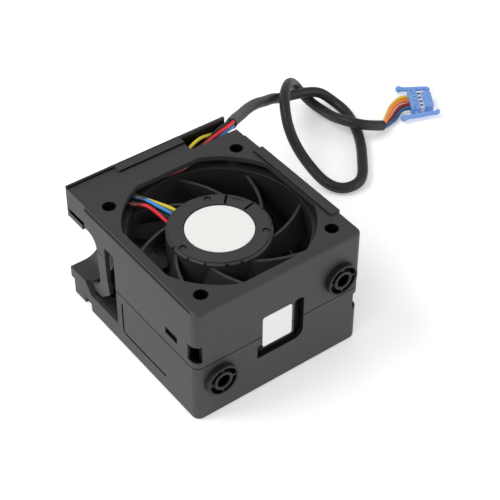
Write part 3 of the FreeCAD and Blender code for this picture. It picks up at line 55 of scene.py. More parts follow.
def addCamera(values):
    data = bpy.data.cameras.new("camera")
    data.lens = values["lens"]
    data.sensor_width = values["sensor"]
    data.clip_start = 0.01
    data.clip_end = 20.0
    camera = bpy.data.objects.new("camera", data)
    camera.location = [v * mm for v in values["place"]]
    camera.rotation_euler = [math.radians(a) for a in values["turn"]]
    bpy.context.collection.objects.link(camera)
    bpy.context.scene.camera = camera


addCamera(cameraValues)
bpy.context.scene.view_settings.view_transform = "Standard"
print("camera done")


# ---------- shader maths on sockets
class Signal:
    # a socket whose sums, differences, products and quotients add their own Math nodes
    def __init__(self, finish, socket):
        self.finish = finish
        self.socket = socket

    def maths(self, operation, *others):
        return self.finish.node("ShaderNodeMath", {"operation": operation}, [self, *others])

    def __add__(self, other):
        return self.maths("ADD", other)

    def __sub__(self, other):
        return self.maths("SUBTRACT", other)

    def __rsub__(self, other):
        return self.finish.node("ShaderNodeMath", {"operation": "SUBTRACT"}, [other, self])

    def __mul__(self, other):
        return self.maths("MULTIPLY", other)

    def __truediv__(self, other):
        return self.maths("DIVIDE", other)

    __radd__ = __add__
    __rmul__ = __mul__

    def most(self, other):
        return self.maths("MAXIMUM", other)

    def over(self, low, high):
        # 0 below low, 1 above high, smooth between
        settings = {"interpolation_type": "SMOOTHSTEP"}
        values = {"Value": self, "From Min": low, "From Max": high}
        return self.finish.node("ShaderNodeMapRange", settings, values)


class Finish:
    # one material: its nodes are added through node(), its shader's sockets are set through shade()
    def __init__(self, name):
        self.material = bpy.data.materials.new(name)
        self.material.use_nodes = True
        self.tree = self.material.node_tree
        self.shader = self.tree.nodes["Principled BSDF"]
        self.place = self.node("ShaderNodeTexCoord", {}, {}, "Object")

    def fill(self, socket, value):
        if isinstance(value, Signal):
            self.tree.links.new(value.socket, socket)
        elif isinstance(value, (tuple, list)) and socket.type == "RGBA":
            socket.default_value = (*value, 1.0)
        else:
            socket.default_value = value

    def node(self, kind, settings, values, output=0):
        made = self.tree.nodes.new(kind)
        for name, value in settings.items():
            setattr(made, name, value)
        named = values.items() if isinstance(values, dict) else enumerate(values)
        for name, value in named:
            self.fill(made.inputs[name], value)
        return Signal(self, made.outputs[output])

    def noise(self, scale, detail=2.0, rough=0.5, vector=None):
        values = {"Vector": vector or self.place, "Scale": scale, "Detail": detail, "Roughness": rough}
        return self.node("ShaderNodeTexNoise", {}, values)

    def mix(self, amount, first, second):
        return self.node("ShaderNodeMix", {"data_type": "RGBA"}, {0: amount, 6: first, 7: second}, 2)

    def bump(self, height, depth, normal=None):
        values = {"Height": height, "Distance": depth, "Strength": 1.0}
        if normal:
            values["Normal"] = normal
        return self.node("ShaderNodeBump", {}, values)

    def parts(self, vector=None):
        # x, y and z of a vector, the piece's own coordinates if none is named
        split = self.node("ShaderNodeSeparateXYZ", {}, [vector or self.place]).socket.node
        return [Signal(self, socket) for socket in split.outputs]

    def within(self, place, limits, soft=0.12):
        # 1 inside a box of (axis, lowest, highest) limits in mm, 0 outside
        mask = 1.0
        for axis, low, high in limits:
            mask = mask * place[axis].over((low - soft) * mm, low * mm)
            mask = mask * (1.0 - place[axis].over(high * mm, (high + soft) * mm))
        return mask

    def near(self, spot, reach, soft=0.2):
        # 1 within reach of a spot, both in mm
        centre = [v * mm for v in spot]
        away = self.node("ShaderNodeVectorMath", {"operation": "DISTANCE"}, [self.place, centre], "Value")
        return 1.0 - away.over((reach - soft) * mm, reach * mm)

    def edges(self, radius):
        # 1 on a sharp edge, 0 on a flat face: how far the rounded normal turns from the true one
        soft = self.node("ShaderNodeBevel", {"samples": 4}, {"Radius": radius})
        true = self.node("ShaderNodeNewGeometry", {}, {}, "Normal")
        same = self.node("ShaderNodeVectorMath", {"operation": "DOT_PRODUCT"}, [soft, true], "Value")
        return soft, (1.0 - same).over(0.01, 0.22)

    def shade(self, **values):
        for name, value in values.items():
            self.fill(self.shader.inputs[name.replace("_", " ")], value)
        return self.material


screwValues = {"across": 25.0, "inner": 2.2, "outer": 2.45, "depth": 0.85}  # mm, and how dark


def screwWells(f, place):
    # painted shade in the four screw holes: dark where the distance from a hole's axis, in plan, is under the
    # inner radius, fading out to the outer one
    values = screwValues
    x, y = [(place[axis].maths("ABSOLUTE") - values["across"] * mm) for axis in (0, 1)]
    away = (x * x + y * y).maths("SQRT")
    return (1.0 - away.over(values["inner"] * mm, values["outer"] * mm)) * values["depth"]


# painted shade in the case's gaps, slots, holes and grooves, under the grip's cheek, and as dark lines along
# edges and at the feet of rails and strips
# how dark, then limits in mm along the axes, "side" being the distance either way from the middle
casePaintedShade = [
    (1.0, [("x", -33, -27), ("y", 29, 40.5), ("z", 36.4, 38.05)]),  # under the grip's cheek
    (0.7, [("x", 12.5, 31), ("y", 33.2, 40.3), ("z", 38, 45.6)]),  # the wires' way in
    (0.7, [("z", 22.95, 23.25)]),  # line between the shells, which crosses the tongues too
    (0.85, [("x", -33, -31.6), ("y", -29, 12), ("z", 22.85, 23.35)]),  # its stretch along the left side
    (0.8, [("x", -33, -31.75), ("y", -29, 28.4), ("z", 45.5, 47)]),  # left edge
    (0.85, [("x", -33, 12.6), ("y", 40.65, 42), ("z", 45.5, 47)]),  # back edge
    (0.85, [("x", -13.2, 12.4), ("y", 37.2, 37.36), ("z", 46.05, 46.6)]),  # foot of the wide rail
    (0.8, [("x", -32, -13.2), ("y", 40.1, 40.26), ("z", 46.05, 46.6)]),  # foot of the thin rail
    (0.85, [("x", 28.2, 28.8), ("y", -20.3, 20.3), ("z", 46.07, 46.5)]),  # foot of the side strip
    (0.75, [("x", -32, -31.2), ("y", -15.4, 9.6), ("z", 6.3, 19.9)]),  # side groove
    (0.6, [("x", -8.95, 9.25), ("y", -31.8, -28.5), ("z", 14.2, 31.5)]),  # front slot
    (0.85, [("side", 29, 31.8), ("y", -22.4, -15.8), ("z", 26.9, 29.9)]),  # snap slots
    (0.85, [("side", 20, 31.6), ("y", 11.5, 17.5), ("z", 8.5, 37.4)]),  # beside the tongues
]


cornerValues = {
    "windows": ((-1, 25.3), (1, 13.8)),  # side, and the window's lowest point
    "tall": 7,
    "centre": 29.2,
    "inner": 2.55,
    "outer": 2.72,
    "from": -32,
    "to": -24.5,
    "depth": 0.85,
}


def caseShadows(f, place):
    # the places given painted shade: screw holes, the boxes above, and the corner windows' inner walls, which
    # lie nearer to the upright corner's own axis than its outer face does
    corner = cornerValues
    axes = {"x": place[0], "y": place[1], "z": place[2], "side": place[0].maths("ABSOLUTE")}
    marks = screwWells(f, place)
    for depth, limits in casePaintedShade:
        marks = marks.most(f.within(axes, limits) * depth)
    for side, low in corner["windows"]:
        x, y = place[0] - side * corner["centre"] * mm, place[1] + corner["centre"] * mm
        inner = 1.0 - (x * x + y * y).maths("SQRT").over(corner["inner"] * mm, corner["outer"] * mm)
        limits = [(2, low, low + corner["tall"]), (1, corner["from"], corner["to"])]
        marks = marks.most(inner * f.within(place, limits) * corner["depth"])
    return marks


isolatorValues = {
    "axes": ((23.25, 31.4), (-23.25, 15.2)),  # mm across and up
    "bore": (2.42, 2.5),  # where the dark starts to fade and where it ends
    "gapInner": (3.35, 3.43),
    "gapOuter": (4.95, 5.05),
    "front": (-33.5, -33.35),
}


def rubberShadows(f, place):
    # painted shade in the bore and in the ring gap behind the front face, by the distance from each
    # isolator's axis
    values = {name: [v * mm for v in pair] for name, pair in isolatorValues.items() if name != "axes"}
    marks = screwWells(f, place)
    for across, height in isolatorValues["axes"]:
        x, z = place[0] - across * mm, place[2] - height * mm
        away = (x * x + z * z).maths("SQRT")
        bore = 1.0 - away.over(*values["bore"])
        gap = away.over(*values["gapInner"]) * (1.0 - away.over(*values["gapOuter"]))
        marks = marks.most(bore.most(gap) * place[1].over(*values["front"]))
    return marks


hubValues = {  # mm, and degrees round the fan's axis
    "notches": (-2, -28, 176, -161, -141, -118, -102),
    "notchPlace": (17.05, 41.2),  # radius and height
    "notchReach": 0.65,
    "dimples": (69.5, 183, 319),
    "dimplePlace": (14.7, 41.5),
    "dimpleRing": (1.3, 0.95),  # outer and inner radius of the dark ring
    "slits": (46, 12),
    "slitHalf": (0.34, 0.46),
    "slitFrom": (11.7, 11.9),
    "slitTo": (16.2, 16.4),
    "arc": (33, 14.9, 7),  # its middle, its radius and half its angle
    "arcHalf": (0.3, 0.42),
    "arcSoft": 0.05,
    "top": (40.9, 41),  # only what lies above this is marked
}


def hubPaintedShade(f, place):
    # painted shade on the base's raised ring: rim notches, dimples drawn as rings, two radial slits and the
    # arc between them; the notches and the arc are only these marks, and the rest lies on real dents
    values = hubValues
    x, y = place[:2]
    above = place[2].over(values["top"][0] * mm, values["top"][1] * mm)
    marks = screwWells(f, place)

    def spots(turns, radius, height):
        # points on a circle about the axis, one at each turn
        angles = [math.radians(turn) for turn in turns]
        return [(radius * math.cos(angle), radius * math.sin(angle), height) for angle in angles]

    for spot in spots(values["notches"], *values["notchPlace"]):
        marks = marks.most(f.near(spot, values["notchReach"]) * 0.8)
    outer, inner = values["dimpleRing"]
    for spot in spots(values["dimples"], *values["dimplePlace"]):
        marks = marks.most(f.near(spot, outer) * (1.0 - f.near(spot, inner)) * 0.9)
    for turn in values["slits"]:
        c, s = math.cos(math.radians(turn)), math.sin(math.radians(turn))
        along, across = x * c + y * s, (y * c - x * s).maths("ABSOLUTE")
        half, start, end = [[v * mm for v in values[key]] for key in ("slitHalf", "slitFrom", "slitTo")]
        slit = (1.0 - across.over(*half)) * along.over(*start)
        marks = marks.most(slit * (1.0 - along.over(*end)) * above)
    turn, radius, halfTurn = values["arc"]
    away = (x * x + y * y).maths("SQRT")
    along = x * math.cos(math.radians(turn)) + y * math.sin(math.radians(turn))
    width = [v * mm for v in values["arcHalf"]]
    arc = (1.0 - (away - radius * mm).maths("ABSOLUTE").over(*width)) * above
    chord, soft = radius * math.cos(math.radians(halfTurn)), values["arcSoft"]
    return marks.most(arc * along.over((chord - soft) * mm, (chord + soft) * mm) * 0.8)


mouldValues = {
    "fine": (3.0, 0.6),  # detail and roughness of the grain
    "broad": (45.0, 3.0, 0.55),  # scale, detail and roughness of the unevenness
    "rub": (400.0, 0.35, 0.7),  # scale, and where the patches of edge wear and painted highlight start and are full
    "dust": (0.45, 0.75, 0.25),  # where it starts, where it is full, and how much of it
    "paler": (1.35, 0.004),  # dusty colour: times and plus
    "rubbed": (3.0, 0.03),  # colour of the edge wear and painted highlight: times and plus
    "dark": (0.0015, 0.0015, 0.0015),
    "fineGloss": 0.16,
    "broadGloss": 0.12,
    "bump": 0.16,  # of the grain's size
}


def mouldedPlastic(name, colour, rough, grain, wearAndSheen, edge=0.25, shadows=None, gloss=0.5):
    # spark-eroded mould texture: fine grain in bump and gloss, edges a little paler, part wear and part
    # painted highlight
    values = mouldValues
    f = Finish(name)
    fine = f.noise(1.0 / (grain * mm), *values["fine"])
    broad = f.noise(*values["broad"])
    soft, edgeMask = f.edges(edge * mm)
    # edges made paler in patches: part wear, part painted highlight
    rubScale, rubStart, rubFull = values["rub"]
    rubbed = edgeMask * f.noise(rubScale).over(rubStart, rubFull) * wearAndSheen
    dustStart, dustFull, dustMost = values["dust"]
    dusty = broad.over(dustStart, dustFull) * dustMost

    def lifted(times, plus):
        # the colour made paler: each channel times one number plus another, up to 1
        return tuple(min(1.0, c * times + plus) for c in colour)

    tone = f.mix(dusty, colour, lifted(*values["paler"]))
    tone = f.mix(rubbed, tone, lifted(*values["rubbed"]))
    if shadows:
        # painted shade: a black that is metallic has no gloss of its own, so the painted shade stays dark
        # under any light
        dark = shadows(f, f.parts())
        tone = f.mix(dark, tone, values["dark"])
        f.shade(Metallic=dark)
    return f.shade(
        Base_Color=tone,
        Roughness=rough + (fine - 0.5) * values["fineGloss"] + (broad - 0.5) * values["broadGloss"],
        Specular_IOR_Level=gloss,
        Normal=f.bump(fine, grain * values["bump"] * mm, soft),
    )


def softPlastic(name, colour, rough, spread=0.12, gloss=0.5, marks=None, crease=0.0):
    # smooth extruded or moulded plastic with faint unevenness; crease is the depth in mm of soft wrinkles
    f = Finish(name)
    broad = f.noise(220.0, 2.0)
    tone = f.mix(broad.over(0.35, 0.7) * spread, colour, tuple(c * 0.6 for c in colour))
    if marks:
        tone = marks(f, tone)
    normal = f.bump(f.noise(1500.0, 2.0), 0.006 * mm)
    if crease:
        normal = f.bump(f.noise(380.0, 3.0), crease * mm, normal)
    return f.shade(
        Base_Color=tone,
        Roughness=rough + (broad - 0.5) * 0.1,
        Specular_IOR_Level=gloss,
        Normal=normal,
    )


# painted shade on the leads where they run under the roof
leadRoofShadeValues = {"edge": (25.4, 27.2), "end": (9, 11), "most": 0.85, "colour": (0.02, 0.012, 0.012)}  # mm


def leadShade(f, tone):
    # painted shade on the leads under the roof: darker where their distance from the fan's axis, in plan,
    # passes the opening's edge, up to where they come out on the back's right
    values = leadRoofShadeValues
    edge, end = [[v * mm for v in values[key]] for key in ("edge", "end")]
    x, y = f.parts()[:2]
    away = (x * x + y * y).maths("SQRT").over(*edge)
    dark = away * (1.0 - x.over(*end)) * values["most"]
    return f.mix(dark, tone, values["colour"])


plugValues = {
    "origin": (130.1, 52.8),  # mm, the middle of its wire side
    "heading": -32.0,  # degrees from X
    "height": 2.2,
    "pitch": 2.5,
    "slabs": [  # lowest and highest along and across, corner, underside and top
        ((0, -6.2), (3.6, 6.2), 0.6, 0.3, 4.0),
        ((3.2, -5.2), (6, 5.2), 0.5, 0.5, 3.5),
        ((5.3, -5), (9.2, 5), 1.5, 0.4, 3.9),
    ],
    "marks": {  # limits in mm along the plug's own axes, 0 along, 1 across and 2 up
        "strip": [(0, 3.65, 5.25), (1, -6, 6), (2, 1, 3.6)],
        "cavities": [(0, 3.9, 4.9), (1, -4.7, 4.7)],
        "slots": [(0, 1.4, 3), (1, -4.7, 4.7)],
        "dots": [(0, 1.1, 1.8), (2, 3.5, 5)],
    },
    "cavityHalf": (0.45, 0.6),
    "slotHalf": (0.16, 0.3),
    "dotFrom": (5, 5.1),
    "dotTo": (5.6, 5.7),
    "stripColour": (0.62, 0.68, 0.80),
    "cavityColour": (0.004, 0.005, 0.02),
    "ease": 0.35,
    "bevel": 0.3,  # share of the ease where its two slopes meet
    "web": [(1.9, 6.05, 0.85), (1.9, 7, 0.85), (1.9, 8.4, 0.7)],  # along, across and radius, from the bar out
    "arms": {  # along, across and radius at points from tail to nose
        "left": [
            (-4, 9.2, 1.4), (-3.1, 9.1, 1.4), (-2.3, 9, 1.3), (-1.6, 8.9, 0.9), (1, 8.7, 0.95),
            (4, 8.7, 0.95), (6.5, 8.8, 0.9), (8.5, 8.7, 0.9), (9, 8, 0.9), (8.4, 7.2, 0.8),
        ],
        "right": [
            (-4.9, -10.3, 1.4), (-4.1, -10.1, 1.4), (-3.3, -9.9, 1.3), (-2.5, -9.6, 0.9), (0.5, -9, 0.95),
            (4, -8.3, 0.95), (7.6, -7.6, 0.9), (9.9, -7.5, 0.9), (10.5, -6.7, 0.9), (9.8, -5.9, 0.8),
        ],
    },
}


def plugMarks(f, tone):
    # in the plug's own coordinates: a pale strip between bar and nose, and painted shade for the contact
    # cavities, a dot at each end of the bar and a faint slot over each contact
    values = plugValues
    place = (values["origin"][0] * mm, values["origin"][1] * mm, 0)
    turn = (0, 0, math.radians(values["heading"]))
    mapping = {"Vector": f.place, "Location": place, "Rotation": turn}
    turned = f.node("ShaderNodeMapping", {"vector_type": "TEXTURE"}, mapping)
    spot = f.parts(turned)
    marks = values["marks"]
    cavityHalf, slotHalf, dotFrom, dotTo = [
        [v * mm for v in values[key]] for key in ("cavityHalf", "slotHalf", "dotFrom", "dotTo")]
    strip = f.within(spot, marks["strip"], 0.05)
    pitch = values["pitch"] * mm
    away = ((spot[1] / pitch).maths("FRACT") - 0.5).maths("ABSOLUTE") * pitch
    across = spot[1].maths("ABSOLUTE")
    holes = (1.0 - away.over(*cavityHalf)) * f.within(spot, marks["cavities"])
    slots = (1.0 - away.over(*slotHalf)) * f.within(spot, marks["slots"]) * 0.55
    dots = f.within(spot, marks["dots"]) * across.over(*dotFrom) * (1.0 - across.over(*dotTo))
    tone = f.mix(strip, tone, values["stripColour"])
    return f.mix(holes.most(dots * 0.9).most(slots), tone, values["cavityColour"])


def metal(name, colour, rough, scratch=900.0):
    # turned or pressed metal: a fine noise in colour, roughness and bump
    f = Finish(name)
    lines = f.noise(scratch, 2.0)
    return f.shade(Base_Color=f.mix(lines * 0.3, colour, tuple(c * 0.7 for c in colour)), Metallic=1.0,
                   Roughness=rough + (lines - 0.5) * 0.15, Normal=f.bump(lines, 0.003 * mm))


def paper(name, colour):
    # matte printed label stock
    f = Finish(name)
    fibre = f.noise(700.0, 4.0, 0.6)
    return f.shade(Base_Color=f.mix(fibre.over(0.4, 0.75) * 0.12, colour, tuple(c * 0.86 for c in colour)),
                   Roughness=0.5 + (fibre - 0.5) * 0.15, Normal=f.bump(fibre, 0.008 * mm))


finishes = {
    "case_black": mouldedPlastic("caseGrain", (0.030, 0.030, 0.031), 0.52, 0.16, 0.25, 0.25, caseShadows),
    "fan_black": mouldedPlastic("fanGrain", (0.013, 0.013, 0.014), 0.45, 0.25, 0.7, 0.3, screwWells),
    "rubber_black": mouldedPlastic(
        "isolatorRubber", (0.009, 0.009, 0.009), 0.5, 0.3, 0.1, 0.2, rubberShadows, 0.35),
    "steel": metal("turnedSteel", (0.62, 0.62, 0.64), 0.3),
    "ferrite": metal("ferriteRing", (0.16, 0.16, 0.17), 0.6),
    "copper": metal("enamelledCopper", (0.72, 0.32, 0.14), 0.35),
    "contact_tin": metal("tinnedContact", (0.78, 0.76, 0.7), 0.25),
    "nylon_white": softPlastic("insulatorNylon", (0.75, 0.74, 0.68), 0.5),
    "board_green": softPlastic("boardGreen", (0.02, 0.16, 0.06), 0.35),
    "chip_black": softPlastic("chipBlack", (0.02, 0.02, 0.02), 0.5),
    "label_silver": paper("hubLabelStock", (0.88, 0.88, 0.86)),
    "label_white": paper("faceLabelStock", (0.90, 0.90, 0.90)),
    "sleeve_black": softPlastic("sleeveJacket", (0.018, 0.018, 0.019), 0.5, 0.3, 0.35, crease=0.3),
    "wire_red": softPlastic("wireRed", (0.74, 0.02, 0.03), 0.35, marks=leadShade),
    "wire_yellow": softPlastic("wireYellow", (0.84, 0.68, 0.05), 0.35, marks=leadShade),
    "wire_blue": softPlastic("wireBlue", (0.06, 0.30, 0.72), 0.35, marks=leadShade),
    "wire_black": softPlastic("wireBlack", (0.02, 0.02, 0.022), 0.35),
    "plug_blue": softPlastic("plugBlue", (0.19, 0.37, 0.80), 0.45, marks=plugMarks),
}
hubBase = mouldedPlastic("hubBaseGrain", (0.033, 0.033, 0.034), 0.48, 0.25, 0.12, 0.2, hubPaintedShade)
tailFinish = {
    "red": softPlastic("tailOrange", (0.95, 0.24, 0.04), 0.35),
    "yellow": softPlastic("tailYellow", (0.84, 0.55, 0.06), 0.35),
    "black": softPlastic("tailDarkRed", (0.30, 0.012, 0.010), 0.35),
    "blue": softPlastic("tailTeal", (0.012, 0.10, 0.24), 0.35),
}
slotOf = {row["node"]: row["material_slot"] for row in frame["record"]["subparts"]}
print("finishes done")


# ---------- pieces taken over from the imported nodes
def dress(obj, finish):
    obj.data.materials.clear()
    obj.data.materials.append(finish)


def linkPiece(name, mesh, body, slot):
    piece = bpy.data.objects.new(name, mesh)
    bpy.context.collection.objects.link(piece)
    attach(piece, body)
    dress(piece, finishes[slot])
    return piece


def ringMesh(name, shapes, smooth=False):
    # closed surfaces, each through its own rings of points with a middle point closing each end
    points, faces, start = [], [], 0
    for rings in shapes:
        count, around = rings.shape[:2]
        points += [rings[0].mean(0)[None], rings.reshape(-1, 3), rings[-1].mean(0)[None]]
        grid = start + 1 + np.arange(count * around).reshape(count, around)
        ahead = np.roll(grid, -1, 1)
        end = start + 1 + count * around
        faces += np.stack([grid[:-1], ahead[:-1], ahead[1:], grid[1:]], -1).reshape(-1, 4).tolist()
        faces += np.stack([np.full(around, start), ahead[0], grid[0]], -1).tolist()
        faces += np.stack([np.full(around, end), grid[-1], ahead[-1]], -1).tolist()
        start = end + 1
    mesh = bpy.data.meshes.new(name)
    mesh.from_pydata((np.vstack(points) * mm).tolist(), [], faces)
    shape = bmesh.new()
    shape.from_mesh(mesh)
    bmesh.ops.recalc_face_normals(shape, faces=shape.faces)
    for face in shape.faces:
        face.smooth = smooth
    shape.to_mesh(mesh)
    shape.free()
    return mesh


def refine(node, name, body, angle=32.0):
    # the node's mesh with its doubles merged, smooth within surfaces and sharp at edges over the angle
    mesh = frame["nodes"][node].data.copy()
    shape = bmesh.new()
    shape.from_mesh(mesh)
    bmesh.ops.remove_doubles(shape, verts=shape.verts, dist=0.002 * mm)
    limit = math.radians(angle)
    for edge in shape.edges:
        edge.smooth = len(edge.link_faces) == 2 and edge.calc_face_angle(math.pi) < limit
    for face in shape.faces:
        face.smooth = True
    shape.to_mesh(mesh)
    shape.free()
    for layer in ("sharp_face", "custom_normal"):
        if layer in mesh.attributes:
            mesh.attributes.remove(mesh.attributes[layer])
    piece = linkPiece(name, mesh, body, slotOf[node])
    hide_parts(node)
    return piece


bodyOf = {node: body for body, nodes in frame["record"]["behaviour"]["bodies"].items() for node in nodes}
refined = {}
for node in frame["nodes"]:
    if node.startswith(("cable", "lead_", "tail_", "face_label", "plug_housing", "plug_latch")):
        continue
    parts = node.split("_")
    name = parts[0] + "".join(p.capitalize() for p in parts[1:]) + "Skin"
    refined[node] = refine(node, name, bodyOf[node])
dress(refined["motor_base"], hubBase)
print("case and fan done")


# ---------- face label and plug arms
labelValues = {  # mm
    "left": -7.0,
    "right": 4.35,
    "low": 18.6,
    "high": 31.0,
    "corner": 0.9,
    "front": -32.2,
    "back": -32.0,
    "ease": 0.04,
}


def slabRings(low, high, corner, levels, steps=8):
    # a plate: at each level (inset, depth) the same rounded rectangle, drawn in by the inset,
    # each corner a quarter circle about its own centre; the last coordinate is the depth
    quarter = np.repeat(np.arange(4), steps)
    turn = np.tile(np.linspace(0, math.pi / 2, steps), 4) + quarter * math.pi / 2
    first = np.where((quarter == 0) | (quarter == 3), high[0] - corner, low[0] + corner)
    second = np.where(quarter < 2, high[1] - corner, low[1] + corner)
    return np.array([
        np.stack([first + (corner - inset) * np.cos(turn), second + (corner - inset) * np.sin(turn),
                  np.full(turn.shape, depth)], -1)
        for inset, depth in levels
    ])


def addLabel(values):
    # a plate with rounded corners and an eased front edge, its depth along Y
    front, ease = values["front"], values["ease"]
    levels = ((0, values["back"]), (0, front + ease), (ease, front))
    low, high = (values["left"], values["low"]), (values["right"], values["high"])
    rings = slabRings(low, high, values["corner"], levels)
    mesh = ringMesh("faceLabelPlate", [rings[..., [0, 2, 1]]])
    piece = linkPiece("faceLabelPlate", mesh, "module", slotOf["face_label"])
    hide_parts("face_label")


def rodRings(points, height, steps=10, around=20):
    # a round rod: a quadratic B-spline through the named points carries the section, whose radius
    # falls to nothing at the ends as a half circle does
    path = np.array([points[0], *points, points[-1]], float)
    place = np.linspace(0, len(path) - 2, (len(path) - 2) * steps + 1)
    first = np.minimum(place.astype(int), len(path) - 3)
    s = (place - first)[:, None]
    weights = (0.5 * (1 - s) ** 2, 0.5 * (1 + 2 * s - 2 * s * s), 0.5 * s * s)
    track = weights[0] * path[first] + weights[1] * path[first + 1] + weights[2] * path[first + 2]
    ahead = np.gradient(track[:, :2], axis=0)
    run = np.concatenate([[0], np.cumsum(np.hypot(*np.diff(track[:, :2], axis=0).T))])
    near = np.minimum(run, run[-1] - run)
    radius = track[:, 2] * np.sqrt(1 - np.clip(1 - near / track[:, 2], 0, 1) ** 2)
    side = np.stack([-ahead[:, 1], ahead[:, 0]], -1) / np.hypot(*ahead.T)[:, None]
    turn = np.linspace(0, 2 * math.pi, around, endpoint=False)
    flat = track[:, None, :2] + radius[:, None, None] * np.cos(turn)[:, None] * side[:, None]
    up = height + radius[:, None] * np.sin(turn)
    return np.concatenate([flat, up[..., None]], -1)[1:-1]


def plugPlace(rings):
    # from the plug's own frame to where it lies: a turn about Z, then a shift
    angle = math.radians(plugValues["heading"])
    turn = np.array([[math.cos(angle), math.sin(angle)], [-math.sin(angle), math.cos(angle)]])
    placed = rings.copy()
    placed[..., :2] = rings[..., :2] @ turn + plugValues["origin"]
    return placed


def addArm(side):
    # a sprung arm with its short web to the bar: two rods in one mesh
    arm = plugValues["arms"][side]
    sign = math.copysign(1, arm[0][1])
    web = [(along, sign * across, radius) for along, across, radius in plugValues["web"]]
    name = f"plugArm{side.capitalize()}"
    rods = [plugPlace(rodRings(points, plugValues["height"])) for points in (arm, web)]
    piece = linkPiece(name, ringMesh(name, rods, True), f"latch_{side}", slotOf[f"plug_latch_{side}"])
    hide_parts(f"plug_latch_{side}")
    return piece


def addPlug(values):
    # the bar, the contact strip and the nose: three slabs with eased edges
    ease = values["ease"]
    bend = ease * values["bevel"]
    slabs = []
    for low, high, corner, bottom, top in values["slabs"]:
        levels = ((ease, bottom), (bend, bottom + bend), (0, bottom + ease),
                  (0, top - ease), (bend, top - bend), (ease, top))
        slabs.append(plugPlace(slabRings(low, high, corner, levels)))
    piece = linkPiece("plugBody", ringMesh("plugBody", slabs), "module", slotOf["plug_housing"])
    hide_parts("plug_housing")
    return piece


addLabel(labelValues)
plugBody = addPlug(plugValues)
plugArms = [addArm(side) for side in ("left", "right")]
print("label and plug arms done")


# ---------- cords
sleeveValues = {
    "diameter": 4.0,
    "route": [
        (33.5, 39.5, 43.4), (39, 45, 39.5), (45.5, 50.5, 35), (51.5, 55.5, 31.5), (57, 59.5, 28.5),
        (63, 63.5, 25), (69, 67, 21), (75.5, 70.5, 17.5), (81.5, 73, 13.5), (89, 74.5, 11), (96, 75, 9),
        (102, 74, 7), (105.5, 70, 3.5), (106.5, 64, 2.2), (104.5, 57, 2.2), (101.5, 50, 2.2),
        (97, 42.5, 2.2), (92, 36, 2.2), (86.5, 29, 2.2), (81.5, 26, 2.2), (75, 27, 2.2), (71.5, 32.5, 3),
        (71, 41.5, 5.5), (70.5, 49, 10), (71, 55, 15.5), (74, 61, 19.5), (78.5, 67, 20), (84, 72.5, 18.5),
        (89.5, 77.5, 15), (94, 80.5, 10.5), (97, 79.5, 5.5), (99, 74.5, 2.2), (99.5, 68, 2.2),
        (97.5, 61, 5), (97, 54.5, 7.5), (100, 49, 7.5), (105, 46.5, 6), (111.5, 47.5, 2.5),
    ],
}
